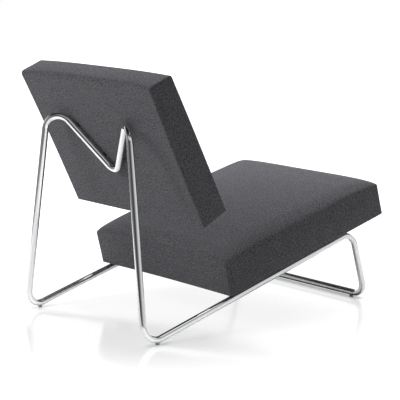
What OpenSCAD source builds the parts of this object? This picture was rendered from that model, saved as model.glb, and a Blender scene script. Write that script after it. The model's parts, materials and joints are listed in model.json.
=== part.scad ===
/* [Tube frame] */
// Outer diameter of the frame tube
tube_od = 20; // [18:0.5:22]
// Wall thickness of the frame tube
tube_wall = 2; // [1.5:0.1:2.5]
// Centre-line radius of the floor bends, the front bends and the two peaks
bend_r = 46; // [42:1:50]
// Centre-line radius of the dip between the peaks
dip_r = 30; // [27:1:34]
// Distance of the side rails in from the corners of the seat cushion, to their centre lines
rail_inset = 25; // [22:0.5:30]
// Slope of the side rails in degrees
rail_pitch = 15.3; // [14.5:0.1:16]
// Length of a side rail from its rear corner to its front corner
rail_len = 843; // [830:1:860]
// Lean of the front legs in degrees
front_lean = 16.9; // [15:0.1:19]
// Height of the peaks of the back, at the corners of the centre line
peak_z = 646; // [636:1:656]
// Spacing of the two peaks
peak_span = 372; // [362:1:382]
// Distance by which the peaks stand forward of the rear corners
peak_set = 20; // [12:1:28]
// Recline of the back in degrees from vertical
back_recline = 26.8; // [25:0.1:28]
// Depth of the dip below the peaks, along the back
dip_depth = 237.5; // [230:0.5:245]
// Distance along a side rail from its rear corner to the joint in the tube
joint_at = 500; // [470:1:530]
// Length of the sleeve inside each joint
spigot_len = 90; // [70:1:110]
// Bore of the sleeve inside each joint
spigot_bore = 10; // [6:0.5:11]
// Diameter of the pins that lock the sleeves
lock_pin_d = 4; // [3:0.5:5]

/* [Floor glides] */
// Height by which the glides lift the tube off the floor
glide_h = 4; // [3:0.5:6]
// Diameter of a glide
glide_d = 12; // [11:0.5:14]
// Distance of the front glides in from the centre lines of the front legs
front_glide_inset = 56; // [51:1:80]
// Diameter of the rivet that holds a glide
rivet_d = 4; // [3:0.5:5]
// Diameter of the head of that rivet
rivet_head_d = 6; // [5:0.5:7]

/* [Seat cushion] */
// Width of the seat cushion at its corners
seat_w = 612; // [604:1:618]
// Depth of the seat cushion at its corners
seat_d = 646; // [636:1:650]
// Height of the side seams at the rear of the seat
seat_rear_h = 109; // [100:1:115]
// Height of the side seams at the front of the seat
seat_front_h = 102; // [95:1:110]
// Width of the soft roll along the top edges
seat_roll_w = 53; // [40:1:60]
// Height of that roll
seat_roll_h = 16.5; // [8:0.5:20]
// Rise of the crown over the middle of the seat
seat_crown = 18.5; // [6:0.5:24]
// Draw-in of the sides of the seat at mid-length
seat_draw = 2.5; // [0.5:0.5:4]
// Draw-in of the front and the rear of the seat at mid-width
seat_end_draw = 4; // [0.5:0.5:5]
// Outward swell of the side faces at mid-height and mid-length
seat_swell = 4.5; // [0:0.5:6]
// Distance along a side rail from its rear corner to the seat cushion
seat_at = 318; // [312:1:326]
// Thickness of the saddles between the rails and the seat
saddle_t = 6.5; // [4:0.5:8]
// Distance from the rear of the seat to the rear bolts
rear_bolt_at = 70; // [60:1:90]
// Distance from the rear of the seat to the front bolts
front_bolt_at = 420; // [400:1:440]
// Diameter of the seat bolts
bolt_d = 6; // [5:1:8]

/* [Back cushion] */
// Width of the back cushion along its head
pad_head_w = 602; // [592:1:612]
// Width of the back cushion along its foot
pad_foot_w = 590; // [580:1:600]
// Draw-in of the sides at mid-height
pad_waist = 4; // [1:0.5:9]
// Height of the back cushion along its back face
pad_h = 455; // [445:1:465]
// Thickness of the back cushion at its foot
pad_foot_t = 92; // [88:1:100]
// Thickness of the back cushion at its head
pad_head_t = 85; // [78:1:92]
// Fall of the top face from its rear edge to its front edge
pad_fall = 7.5; // [4:0.5:12]
// Rise of the top edge at the middle of the width
pad_crown = 6.5; // [3:0.5:8]
// Swell of the front face at its middle
pad_swell = 8; // [4:0.5:14]
// Forward bow of the front edges at mid-height
pad_bow = 4; // [1:0.5:6]
// Distance by which the cushion hangs below the corner of the dip
pad_drop = 146; // [138:1:150]
// Stand-off between the tube and the cushion
pad_stand = 3; // [2:0.1:4]
// Distances of the hanging studs from the corner of the dip, along the tube
stud_at = [68, 186]; // [60:1:190]
// Diameter of the neck of a hanging stud
stud_d = 5; // [4:0.5:6]
// Diameter of the head of a hanging stud
stud_head_d = 9; // [8:0.5:10]

/* [Covers and padding] */
// Thickness of the woven cover
cover_t = 1.6; // [1.2:0.1:2]
// Width of the hem turned under the seat
hem_w = 14; // [10:0.5:15]
// Thickness of the thin padding behind the back board
rear_pad_t = 5; // [4:0.5:7]
// Thickness of the insulator pad over the webbing
insulator_t = 2.5; // [2:0.5:4]

/* [Timber and webbing] */
// Height of the timber rails in the seat
timber_h = 42; // [36:1:46]
// Width of the timber rails in the seat
timber_w = 34; // [32:1:38]
// Thickness of the board in the back cushion
board_t = 12; // [10:1:15]
// Distance of the board's edges from the edges of the back cushion
board_inset = 24; // [20:1:30]
// Width of a webbing strap
strap_w = 50; // [40:1:55]
// Thickness of a webbing strap
strap_t = 1.6; // [1.2:0.1:2.5]
// Number of straps from front to rear
long_straps = 5; // [4:1:5]
// Number of straps from side to side
cross_straps = 6; // [4:1:6]
// Diameter of the screws in the timber
wood_screw_d = 5; // [4:0.5:6]
// Length of the screws in the timber
wood_screw_len = 70; // [60:1:80]

/* [Hidden] */

// Small values shared by several pieces
slip = 0.1;
seat_fit = 0.2;
overrun = 1;
lap = 0.5;
bend_swell = 0.12;
round_fn = 48;
tube_fn = 32;
bend_fn = 96;

// Hardware values
washer_d = 11;
washer_seat_z = 5;
bolt_head_d = 10;
bolt_head_h = 4;
bolt_clear = 0.5;
access_clear = 0.5;
insert_d = 10;
insert_len = 15;
saddle_w = 17;
saddle_len = 40;
saddle_skirt = 10;
spigot_pin_inset = 18;
lock_pin_sink = 0.3;
rivet_head_h = 1.2;
rivet_head_sink = 1;
rivet_clear = 0.2;
rivet_grip = 3;
glide_chamfer = 0.8;
glide_wrap = 3;
stud_root = 1;
stud_head_h = 2.5;
stud_washer_d = 14;
stud_hole_clear = 0.6;
plate_w = 16;
plate_len = 48;
plate_t = 2;
plate_screw_pitch = 36;
plate_screw_d = 3;
plate_screw_head_d = 5.5;
plate_screw_head_h = 1.4;
plate_screw_len = 9;
slot_drop = 9.5;
slot_clear = 0.4;
recess_depth = 4.5;
screw_head_d = 9;
screw_head_h = 3;
screw_row_share = 0.25;
block_leg = 62;
block_fall = 10;
end_skirt_w = 10;

// Form of the seat cushion: corner radii, fall at the corners, curve powers, steps of its rings
seat_corner_r = 11;
seat_roll_corner_r = 48;
seat_corner_fall = 10;
crown_power = 3.3;
fall_power = 6;
swell_power = 4;
top_shares = [0.35, 0.62, 0.83];
roll_angles = [90, 70, 52, 35, 18, 0];
side_shares = [0.78, 0.42, 0];
corner_steps = 4;
side_steps = 8;
quarter_signs = [[1, 1], [-1, 1], [-1, -1], [1, -1]];

// Form of the back cushion: corner radii, curve powers and steps of its outline
pad_foot_r = 4.5;
pad_rear_head_r = 12;
pad_front_head_r = 9.5;
pad_end_power = 3;
pad_swell_power = 0.7;
pad_rise_w = 30;
arc_steps = 3;
wall_shares = [0.1, 0.25, 0.42, 0.58, 0.75, 0.9];
station_shares = [1, 0.97, 0.9, 0.76, 0.55, 0.28, 0];

// Places worked out from the sizes above
tube_r = tube_od / 2;
tube_id = tube_od - 2 * tube_wall;
rail_span = seat_w - 2 * rail_inset;
front_glide_span = rail_span - 2 * front_glide_inset;
stand_z = glide_h + tube_r;
rail_run = [0, -cos(rail_pitch), sin(rail_pitch)];
rail_up = [0, sin(rail_pitch), cos(rail_pitch)];
back_up = [0, sin(back_recline), cos(back_recline)];
back_out = [0, cos(back_recline), -sin(back_recline)];

// Height of the rear corner at which the floor bend's lowest point stands on its glide
function rear_corner_z(z) = let (
        corner = [rail_span / 2, 0, z],
        u1 = unit([peak_span / 2, -peak_set, peak_z] - corner),
        half = acos(u1 * rail_run) / 2,
        across = unit(cross(u1, rail_run)),
        centre_up = unit(u1 + rail_run)[2] * bend_r / sin(half)
    ) stand_z - centre_up + bend_r * sqrt(1 - pow(across[2], 2));

rear_z = rear_corner_z(rear_corner_z(0));
rear_0 = [rail_span / 2, 0, rear_z];
front_0 = rear_0 + rail_run * rail_len;
toe_0 = [rail_span / 2, front_0[1] - (front_0[2] - stand_z) * tan(front_lean), stand_z];
peak_0 = [peak_span / 2, -peak_set, peak_z];
dip_0 = [0, peak_0[1], peak_0[2]] - back_up * dip_depth;

// The origin lies under the middle of the depth, from the rear bend to the seat's front edge
seat_lift = tube_r + saddle_t;
corner_draw = seat_end_draw * (1 - pow(1 - 2 * seat_corner_r / seat_w, 2));
seat_front_y = rail_run[1] * (seat_at + seat_d - corner_draw) + seat_lift * sin(rail_pitch);
rear_edge_y = bend_centre(rear_0, peak_0, front_0, bend_r)[1] + tube_r
    + bend_r * sqrt(1 - pow(unit(cross(peak_0 - rear_0, rail_run))[1], 2));
to_middle = [0, -(seat_front_y + rear_edge_y) / 2, 0];
rear = rear_0 + to_middle;
front = front_0 + to_middle;
toe = toe_0 + to_middle;
peak = peak_0 + to_middle;
dip = dip_0 + to_middle;
joint = rear + rail_run * joint_at;

rear_path = [joint, rear, peak, dip, mirrored(peak), mirrored(rear), mirrored(joint)];
rear_radii = [0, bend_r, bend_r, dip_r, bend_r, bend_r, 0];
front_path = [joint, front, toe, mirrored(toe), mirrored(front), mirrored(joint)];
front_radii = [0, bend_r, bend_r, bend_r, bend_r, 0];

function unit(v) = v / norm(v);
function mirrored(p) = [-p[0], p[1], p[2]];

// Distance from a corner to the start of its bend
function bend_start(p, a, b, r) = let (u1 = unit(a - p), u2 = unit(b - p))
    r * (1 + u1 * u2) / norm(cross(u1, u2));

// Centre of the bend that rounds the corner p between a and b
function bend_centre(p, a, b, r) = let (u1 = unit(a - p), u2 = unit(b - p))
    p + unit(u1 + u2) * r / sin(acos(u1 * u2) / 2);

// Lowest point of that bend's centre line
function bend_low(p, a, b, r) = let (across = unit(cross(a - p, b - p)))
    bend_centre(p, a, b, r) + r * unit([0, 0, -1] + across * across[2]);

// Puts children in the frame with the origin c and the axes ex, ey and ez
module place(c, ex, ey, ez)
    multmatrix([for (k = [0:3]) k < 3 ? [ex[k], ey[k], ez[k], c[k]] : [0, 0, 0, 1]]) children();

// Straight rod from a to b, whose seam lies on the side of the vector seam
module rod_run(a, b, d, seam) {
    ez = unit(b - a);
    place(a, seam, cross(ez, seam), ez) cylinder(h = norm(b - a), d = d, $fn = tube_fn);
}

// Rod round the corner p, from the stretch to a to the stretch to b
module rod_bend(p, a, b, r, d, seam) {
    u1 = unit(a - p);
    c = bend_centre(p, a, b, r);
    ex = unit(p + u1 * bend_start(p, a, b, r) - c);
    ez = unit(cross(b - p, u1));
    place(c, ex, cross(ez, ex), ez)
        rotate_extrude(angle = 180 - acos(u1 * unit(b - p)), $fn = bend_fn)
            translate([r, 0]) rotate(atan2(seam * ez, seam * ex)) circle(d = d, $fn = tube_fn);
}

// Side of the seam on each stretch of a path, carried round the bends without a twist
function seam_at(points, i) = i == 0 ? unit([1, 0, 0] + rail_up) : let (
        s = seam_at(points, i - 1),
        u = unit(points[i] - points[i - 1]),
        v = unit(points[i + 1] - points[i])
    ) unit(s - (u + v) * (s * v) / (1 + u * v));

// Bent rod of diameter d through the points, whose open ends run on by the length ends
module bent_rod(points, radii, d, ends = 0) {
    last = len(points) - 1;
    for (i = [1:last - 1])
        rod_bend(points[i], points[i - 1], points[i + 1], radii[i], d + bend_swell,
                 seam_at(points, i - 1));
    for (i = [0:last - 1]) {
        u = unit(points[i + 1] - points[i]);
        start = i == 0 ? -ends
            : bend_start(points[i], points[i - 1], points[i + 1], radii[i]) - lap;
        stop = i == last - 1 ? -ends
            : bend_start(points[i + 1], points[i], points[i + 2], radii[i + 1]) - lap;
        rod_run(points[i] + u * start, points[i + 1] - u * stop, d, seam_at(points, i));
    }
}

module bent_tube(points, radii) {
    difference() {
        bent_rod(points, radii, tube_od);
        bent_rod(points, radii, tube_id, overrun);
    }
}

// Frame of the right or left side rail: -Y runs forward along it and +Z is its upper side
module on_rail(side) {
    translate([side * rail_span / 2, rear[1], rear[2]]) rotate([-rail_pitch, 0, 0]) children();
}

// Frame of the seat: the origin is mid-width at the lower rear edge and -Y runs forward
module on_seat() {
    translate([0, rear[1], rear[2]]) rotate([-rail_pitch, 0, 0])
        translate([0, -seat_at, seat_lift]) children();
}

// Frame of the back cushion: the origin is mid-width at the lower edge of its back face,
// +Z runs up along the back and -Y runs forward
module on_back() {
    translate(dip) rotate([-back_recline, 0, 0])
        translate([0, -tube_r - pad_stand, -pad_drop]) children();
}

// Every seat bolt, as children in the frame of its rail
module at_seat_bolts() {
    for (side = [-1, 1], at = [rear_bolt_at, front_bolt_at])
        on_rail(side) translate([0, -seat_at - at, 0]) children();
}

// Every hanging stud, in a frame with +Z running forward out of the tube
module at_studs() {
    across = unit([peak_span / 2, dip_depth]);
    for (side = [-1, 1], at = stud_at)
        translate(dip) rotate([-back_recline, 0, 0])
            translate([side * across[0] * at, 0, across[1] * at]) rotate([90, 0, 0]) children();
}

// Every lock pin, in the frame of its rail with the origin on the tube's axis
module at_spigot_pins() {
    for (side = [-1, 1], way = [-1, 1])
        on_rail(side) translate([0, way * (spigot_len / 2 - spigot_pin_inset) - joint_at, 0])
            children();
}

// Every glide, with the origin on the floor below the tube
module at_glides() {
    low = bend_low(rear, peak, front, bend_r);
    for (side = [-1, 1]) {
        translate([side * low[0], low[1], 0]) children();
        translate([side * front_glide_span / 2, toe[1], 0]) children();
    }
}

// Rod along a rail's axis, over the whole length of the rail
module rail_axis_rod(d) {
    rotate([90, 0, 0]) cylinder(h = rail_len, d = d, center = true, $fn = tube_fn);
}

module rear_hoop() {
    color("silver") difference() {
        bent_tube(rear_path, rear_radii);
        at_seat_bolts() seat_bolt_holes();
        at_studs() translate([0, 0, stud_root])
            cylinder(h = tube_od, d = stud_d, $fn = round_fn);
        at_spigot_pins() lock_pin_hole();
        at_glides() cylinder(h = stand_z, d = rivet_d, $fn = round_fn);
    }
}

module front_hoop() {
    color("silver") difference() {
        bent_tube(front_path, front_radii);
        at_seat_bolts() seat_bolt_holes();
        at_spigot_pins() lock_pin_hole();
        at_glides() cylinder(h = stand_z, d = rivet_d, $fn = round_fn);
    }
}

// Clearance hole in the upper wall and access hole for the head in the lower wall
module seat_bolt_holes() {
    cylinder(h = tube_od, d = bolt_d + bolt_clear, $fn = round_fn);
    translate([0, 0, -tube_od])
        cylinder(h = tube_od, d = washer_d + access_clear, $fn = round_fn);
}

module lock_pin_hole() {
    translate([0, 0, -tube_od]) cylinder(h = tube_od, d = lock_pin_d, $fn = round_fn);
}

module rail_spigots() {
    color("slategray") for (side = [-1, 1])
        on_rail(side) translate([0, -joint_at, 0]) difference() {
            rotate([90, 0, 0])
                cylinder(h = spigot_len, d = tube_id - 2 * slip, center = true, $fn = round_fn);
            rotate([90, 0, 0])
                cylinder(h = spigot_len + 2 * overrun, d = spigot_bore, center = true,
                         $fn = round_fn);
            for (way = [-1, 1])
                translate([0, way * (spigot_len / 2 - spigot_pin_inset), 0]) lock_pin_hole();
        }
}

module spigot_pins() {
    color("gray") at_spigot_pins()
        translate([0, 0, lock_pin_sink - tube_r])
            cylinder(h = tube_r - lock_pin_sink, d = lock_pin_d, $fn = round_fn);
}

// Glides with a hollow on top that fits the tube
module foot_glides() {
    color("dimgray") difference() {
        at_glides() {
            cylinder(h = glide_chamfer, d1 = glide_d - 2 * glide_chamfer, d2 = glide_d,
                     $fn = round_fn);
            translate([0, 0, glide_chamfer])
                cylinder(h = glide_h + glide_wrap - glide_chamfer, d = glide_d, $fn = round_fn);
        }
        for (side = [-1, 1])
            mirror([side < 0 ? 1 : 0, 0, 0])
                rod_bend(rear, peak, front, bend_r, tube_od + bend_swell + 2 * slip, rail_up);
        rod_run(toe, mirrored(toe), tube_od + 2 * slip, [0, 0, 1]);
        at_glides() {
            cylinder(h = stand_z, d = rivet_d, $fn = round_fn);
            cylinder(h = rivet_head_sink + rivet_head_h, d = rivet_head_d + 2 * rivet_clear,
                     $fn = round_fn);
        }
    }
}

module glide_rivets() {
    color("gray") at_glides() {
        translate([0, 0, rivet_head_sink])
            cylinder(h = rivet_head_h, d = rivet_head_d, $fn = round_fn);
        translate([0, 0, rivet_head_sink])
            cylinder(h = glide_h + tube_wall + rivet_grip - rivet_head_sink, d = rivet_d,
                     $fn = round_fn);
    }
}

// Saddles between the round rails and the flat underside of the seat
module seat_saddles() {
    color("black") at_seat_bolts() difference() {
        translate([-saddle_w / 2, -saddle_len / 2, seat_lift - saddle_skirt])
            cube([saddle_w, saddle_len, saddle_skirt]);
        rail_axis_rod(tube_od + 2 * slip);
        cylinder(h = tube_od, d = bolt_d + bolt_clear, $fn = round_fn);
    }
}

module seat_bolts() {
    color("gray") at_seat_bolts() {
        translate([0, 0, washer_seat_z - bolt_head_h])
            cylinder(h = bolt_head_h, d = bolt_head_d, $fn = round_fn);
        translate([0, 0, washer_seat_z])
            cylinder(h = seat_lift + cover_t + insert_len - washer_seat_z, d = bolt_d,
                     $fn = round_fn);
    }
}

// Washers inside the tube: flat under the head and round against the bore
module seat_washers() {
    color("gray") at_seat_bolts() difference() {
        intersection() {
            translate([0, 0, washer_seat_z]) cylinder(h = tube_r, d = washer_d, $fn = round_fn);
            rail_axis_rod(tube_id - 2 * slip);
        }
        cylinder(h = tube_od, d = bolt_d + bolt_clear, $fn = round_fn);
    }
}

module seat_inserts() {
    color("goldenrod") at_seat_bolts()
        translate([0, 0, seat_lift + cover_t]) difference() {
            cylinder(h = insert_len, d = insert_d, $fn = round_fn);
            translate([0, 0, -overrun])
                cylinder(h = insert_len + 2 * overrun, d = bolt_d, $fn = round_fn);
        }
}

// Places of the timber frame in the seat
timber_x = rail_span / 2 + timber_w / 2;
timber_rear_y = -end_skirt_w;
timber_front_y = end_skirt_w - seat_d;
timber_top = cover_t + timber_h;

module seat_side_rails() {
    color("burlywood") difference() {
        on_seat() for (side = [-1, 1])
            translate([side * (timber_x - timber_w / 2), (timber_rear_y + timber_front_y) / 2,
                       cover_t + timber_h / 2])
                cube([timber_w, timber_rear_y - timber_front_y, timber_h], center = true);
        at_seat_bolts() translate([0, 0, seat_lift])
            cylinder(h = cover_t + insert_len, d = insert_d, $fn = round_fn);
        on_seat() at_rail_screws() rail_screw();
    }
}

// Timber rail across the seat, from y to the timber width forward of it
module cross_rail(y) {
    color("burlywood") on_seat() difference() {
        translate([timber_w - timber_x, y - timber_w, cover_t])
            cube([2 * (timber_x - timber_w), timber_w, timber_h]);
        at_rail_screws() rail_screw();
    }
}

module seat_front_rail() {
    cross_rail(timber_front_y + timber_w);
}

module seat_rear_rail() {
    cross_rail(timber_rear_y);
}

// Two screws through each end of each side rail into the cross rails
module at_rail_screws() {
    for (side = [-1, 1], y = [timber_rear_y - timber_w / 2, timber_front_y + timber_w / 2],
         row = [screw_row_share, 1 - screw_row_share])
        translate([side * timber_x, y, cover_t + timber_h * row])
            rotate([0, -side * 90, 0]) children();
}

module rail_screw() {
    cylinder(h = screw_head_h, d1 = screw_head_d, d2 = wood_screw_d, $fn = round_fn);
    cylinder(h = wood_screw_len, d = wood_screw_d, $fn = round_fn);
}

module seat_rail_screws() {
    color("gray") on_seat() at_rail_screws() rail_screw();
}

// Triangular blocks glued into the corners of the timber frame
module seat_corner_blocks() {
    inner_x = timber_x - timber_w;
    color("wheat") on_seat() for (side = [-1, 1])
        translate([0, 0, cover_t]) {
            linear_extrude(timber_h - block_fall)
                polygon([[side * inner_x, timber_rear_y - timber_w],
                         [side * (inner_x - block_leg), timber_rear_y - timber_w],
                         [side * inner_x, timber_rear_y - timber_w - block_leg]]);
            linear_extrude(timber_h - block_fall)
                polygon([[side * inner_x, timber_front_y + timber_w],
                         [side * (inner_x - block_leg), timber_front_y + timber_w],
                         [side * inner_x, timber_front_y + timber_w + block_leg]]);
        }
}

module seat_long_webbing() {
    field = 2 * (timber_x - timber_w);
    color("saddlebrown") on_seat() for (k = [1:long_straps])
        translate([field * (k / (long_straps + 1) - 1 / 2) - strap_w / 2,
                   timber_front_y + timber_w / 2, timber_top])
            cube([strap_w, timber_rear_y - timber_front_y - timber_w, strap_t]);
}

module seat_cross_webbing() {
    field = timber_rear_y - timber_front_y - 2 * timber_w;
    color("peru") on_seat() for (k = [1:cross_straps])
        translate([timber_w / 2 - timber_x,
                   timber_front_y + timber_w + field * k / (cross_straps + 1) - strap_w / 2,
                   timber_top + strap_t])
            cube([2 * timber_x - timber_w, strap_w, strap_t]);
}

insulator_z = timber_top + 2 * strap_t;
foam_z = insulator_z + insulator_t;

module seat_insulator() {
    color("tan") on_seat()
        translate([-timber_x, timber_front_y, insulator_z])
            cube([2 * timber_x, timber_rear_y - timber_front_y, insulator_t]);
}

// Points of the rounded corner c of a rectangle with the half sizes hx and hy
function ring_corner(hx, hy, r, c) = [for (k = [0:corner_steps])
    let (a = 90 * (c + k / corner_steps), way = quarter_signs[c % 4])
        [way[0] * (hx - r) + r * cos(a), way[1] * (hy - r) + r * sin(a)]];

// Points counterclockwise round that rectangle
function plan_ring(hx, hy, r) = [for (c = [0:3]) let (
        arc = ring_corner(hx, hy, r, c),
        start = arc[corner_steps],
        stop = ring_corner(hx, hy, r, c + 1)[0]
    ) each concat(arc, [for (k = [1:side_steps - 1]) start + (stop - start) * k / side_steps])];

// Shares of the half width and the half depth at which a point of the plan lies
function plan_u(p) = min(1, abs(p[0]) * 2 / seat_w);
function plan_v(p) = min(1, abs(p[1]) * 2 / seat_d);

// Height of the top edge, which falls towards the front and at the corners
function edge_z(p) = seat_rear_h + (seat_front_h - seat_rear_h) * (1 / 2 - p[1] / seat_d)
    - seat_corner_fall * pow(plan_u(p) * plan_v(p), fall_power);

function crown_z(p) = seat_crown * (1 - pow(plan_u(p), crown_power))
    * (1 - pow(plan_v(p), crown_power));

// Draws the sides and ends in, swells them by the length out except at the corners, and puts
// the point in the seat's frame
function seat_point(p, z, out = 0) = let (u = p[0] * 2 / seat_w, v = p[1] * 2 / seat_d)
    [p[0] - seat_draw * u * max(0, 1 - v * v) + out * u * max(0, 1 - pow(v, swell_power)),
     p[1] - seat_end_draw * v * max(0, 1 - u * u) + out * v * max(0, 1 - pow(u, swell_power))
         - seat_d / 2, z];

// Rings of the seat's form from the crown down to the height base, set in by the length t
function seat_rings(t, base) = let (hx = seat_w / 2 - t, hy = seat_d / 2 - t) concat(
    [for (s = top_shares)
        [for (p = plan_ring((hx - seat_roll_w) * s, (hy - seat_roll_w) * s,
                            seat_roll_corner_r * s))
            seat_point(p, edge_z(p) + crown_z(p) + seat_roll_h - t)]],
    [for (a = roll_angles) let (in = seat_roll_w * (1 - cos(a)),
            r = seat_corner_r + (seat_roll_corner_r - seat_corner_r) * (1 - cos(a)))
        [for (p = plan_ring(hx - in, hy - in, r))
            seat_point(p, edge_z(p) + crown_z(p) + seat_roll_h * sin(a) - t)]],
    [for (s = side_shares)
        [for (p = plan_ring(hx, hy, seat_corner_r))
            seat_point(p, base + s * (edge_z(p) - t - base), seat_swell * 4 * s * (1 - s))]]);

function seat_top(t) = seat_point([0, 0], edge_z([0, 0]) + crown_z([0, 0]) + seat_roll_h - t);

function backwards(list) = [for (i = [len(list) - 1:-1:0]) list[i]];

// Closed solid through a stack of rings of one length, with a point closing each end
module ring_stack(rings, first, last) {
    n = len(rings[0]);
    m = len(rings);
    points = concat([for (ring = rings) each ring], [first, last]);
    faces = concat(
        [for (j = [0:m - 2], i = [0:n - 1]) let (k = (i + 1) % n)
            each [[j * n + i, (j + 1) * n + k, (j + 1) * n + i],
                  [j * n + i, j * n + k, (j + 1) * n + k]]],
        [for (i = [0:n - 1]) [n * m, (i + 1) % n, i]],
        [for (i = [0:n - 1]) [n * m + 1, (m - 1) * n + i, (m - 1) * n + (i + 1) % n]]);
    polyhedron(points = points, faces = faces);
}

module seat_foam() {
    gap = cover_t + seat_fit;
    color("khaki") on_seat() difference() {
        ring_stack(seat_rings(gap, cover_t), seat_top(gap), seat_point([0, 0], cover_t));
        translate([-timber_x, timber_front_y, -overrun])
            cube([2 * timber_x, timber_rear_y - timber_front_y, foam_z + overrun]);
    }
}

// Woven cover of the seat: one skin, drawn down the sides and turned under as a hem
module seat_cover() {
    hem = plan_ring(seat_w / 2 - hem_w, seat_d / 2 - hem_w, seat_corner_r);
    outside = concat(seat_rings(0, 0), [[for (p = hem) seat_point(p, 0)]]);
    inside = concat(seat_rings(cover_t, cover_t), [[for (p = hem) seat_point(p, cover_t)]]);
    color("dimgray") on_seat()
        ring_stack(concat(outside, backwards(inside)), seat_top(0), seat_top(cover_t));
}

// Base cloth that closes the underside of the seat inside the hem
module seat_dust_cover() {
    color("black") difference() {
        on_seat() linear_extrude(cover_t)
            polygon([for (p = plan_ring(seat_w / 2 - hem_w - seat_fit,
                                        seat_d / 2 - hem_w - seat_fit, seat_corner_r))
                let (q = seat_point(p, 0)) [q[0], q[1]]]);
        at_seat_bolts() translate([0, 0, seat_lift - overrun])
            cylinder(h = cover_t + 2 * overrun, d = insert_d, $fn = round_fn);
    }
}

// Places in the back cushion, as depths from its back face
board_rear_y = cover_t + rear_pad_t;
board_front_y = board_rear_y + board_t;
stud_reach = tube_r + pad_stand;

module hanging_studs() {
    neck = stud_reach + board_rear_y + plate_t;
    color("gray") at_studs() {
        translate([0, 0, tube_r - tube_wall - stud_root])
            cylinder(h = neck - tube_r + tube_wall + stud_root, d = stud_d, $fn = round_fn);
        translate([0, 0, neck]) cylinder(h = stud_head_h, d = stud_head_d, $fn = round_fn);
    }
}

// Washers that keep the back cushion clear of the tube
module stud_washers() {
    color("black") difference() {
        at_studs() cylinder(h = stud_reach, d = stud_washer_d, $fn = round_fn);
        for (side = [-1, 1])
            rod_run(dip, [side * peak[0], peak[1], peak[2]], tube_od + 2 * slip, back_out);
        at_studs() cylinder(h = tube_od, d = stud_d + 2 * slip, $fn = round_fn);
    }
}

// Every keyhole plate, in a frame with +Z forward, +Y up and the origin at the stud
module at_plates() {
    at_studs() translate([0, 0, stud_reach + board_rear_y]) children();
}

module plate_outline() {
    union() {
        square([plate_w, plate_len - plate_w], center = true);
        for (end = [-1, 1])
            translate([0, end * (plate_len - plate_w) / 2]) circle(d = plate_w, $fn = round_fn);
    }
}

// Narrow slot for the neck, with the wide hole for the head below it
module keyhole(neck_d, head_d, h) {
    cylinder(h = h, d = neck_d, $fn = round_fn);
    translate([-neck_d / 2, -slot_drop, 0]) cube([neck_d, slot_drop, h]);
    translate([0, -slot_drop, 0]) cylinder(h = h, d = head_d, $fn = round_fn);
}

module at_plate_screws() {
    at_plates() for (end = [-1, 1])
        translate([0, end * plate_screw_pitch / 2 - slot_drop / 2, 0]) children();
}

module plate_screw(h) {
    cylinder(h = plate_screw_head_h, d1 = plate_screw_head_d, d2 = plate_screw_d,
             $fn = round_fn);
    cylinder(h = h, d = plate_screw_d, $fn = round_fn);
}

module keyhole_plates() {
    color("silver") difference() {
        at_plates() translate([0, -slot_drop / 2, 0]) linear_extrude(plate_t) plate_outline();
        at_plates() translate([0, 0, -overrun])
            keyhole(stud_d + slot_clear, stud_head_d + stud_hole_clear, plate_t + 2 * overrun);
        at_plate_screws() plate_screw(plate_t + overrun);
    }
}

module keyhole_screws() {
    color("gray") at_plate_screws() plate_screw(plate_screw_len);
}

module back_board() {
    color("burlywood") difference() {
        on_back() translate([board_inset - pad_foot_w / 2, -board_front_y, board_inset])
            cube([pad_foot_w - 2 * board_inset, board_t, pad_h - 2 * board_inset]);
        at_plates() translate([0, -slot_drop / 2, -overrun])
            linear_extrude(plate_t + overrun) plate_outline();
        at_plates() keyhole(stud_head_d + stud_hole_clear, stud_head_d + stud_hole_clear,
                            plate_t + recess_depth);
        at_plate_screws() cylinder(h = plate_screw_len, d = plate_screw_d, $fn = round_fn);
    }
}

module back_rear_padding() {
    color("khaki") difference() {
        on_back() translate([board_inset - pad_foot_w / 2, -board_rear_y, board_inset])
            cube([pad_foot_w - 2 * board_inset, rear_pad_t - seat_fit, pad_h - 2 * board_inset]);
        at_studs() keyhole(stud_head_d + stud_hole_clear, stud_head_d + stud_hole_clear,
                           stud_reach + board_rear_y + overrun);
    }
}

// Point on the rounded corner c between the corners a and b, for a share s of its arc
function corner_point(c, a, b, r, s) = let (
        u1 = unit(a - c), u2 = unit(b - c),
        centre = c + unit(u1 + u2) * r / sin(acos(u1 * u2) / 2),
        w1 = c + u1 * r / tan(acos(u1 * u2) / 2) - centre,
        w2 = c + u2 * r / tan(acos(u1 * u2) / 2) - centre,
        arc = acos(w1 * w2 / (norm(w1) * norm(w2)))
    ) centre + (sin((1 - s) * arc) * w1 + sin(s * arc) * w2) / sin(arc);

function between(a, b, shares) = [for (s = shares) a + (b - a) * s];

// Rear and front halves of the side outline, from the middle of the foot to the middle of
// the head, as [depth, height] points of equal count, set in by the length t
function pad_half(t, is_front) = let (
        rear_foot = [t, t],
        rear_head = [t, pad_h - t],
        front_foot = [pad_foot_t - t, t],
        front_head = [pad_head_t - t, pad_h - pad_fall - t],
        foot = is_front ? front_foot : rear_foot,
        head = is_front ? front_head : rear_head,
        mid_foot = (rear_foot + front_foot) / 2,
        mid_head = (rear_head + front_head) / 2,
        foot_r = pad_foot_r - t,
        head_r = (is_front ? pad_front_head_r : pad_rear_head_r) - t,
        steps = [for (k = [0:arc_steps]) k / arc_steps],
        foot_arc = [for (s = steps) corner_point(foot, mid_foot, head, foot_r, s)],
        head_arc = [for (s = steps) corner_point(head, foot, mid_head, head_r, s)]
    ) concat([mid_foot], foot_arc,
             between(foot_arc[arc_steps], head_arc[0], wall_shares),
             head_arc, [mid_head]);

// Whole side outline: up the front and down the rear
function pad_outline(t) = let (up = pad_half(t, true), down = pad_half(t, false), n = len(up))
    concat(up, [for (i = [n - 2:-1:1]) down[i]]);

// Half the width of the cushion at the height z
function pad_half_w(z) = (pad_foot_w + (pad_head_w - pad_foot_w) * z / pad_h) / 2
    - pad_waist * (1 - pow(2 * z / pad_h - 1, 2));

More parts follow.
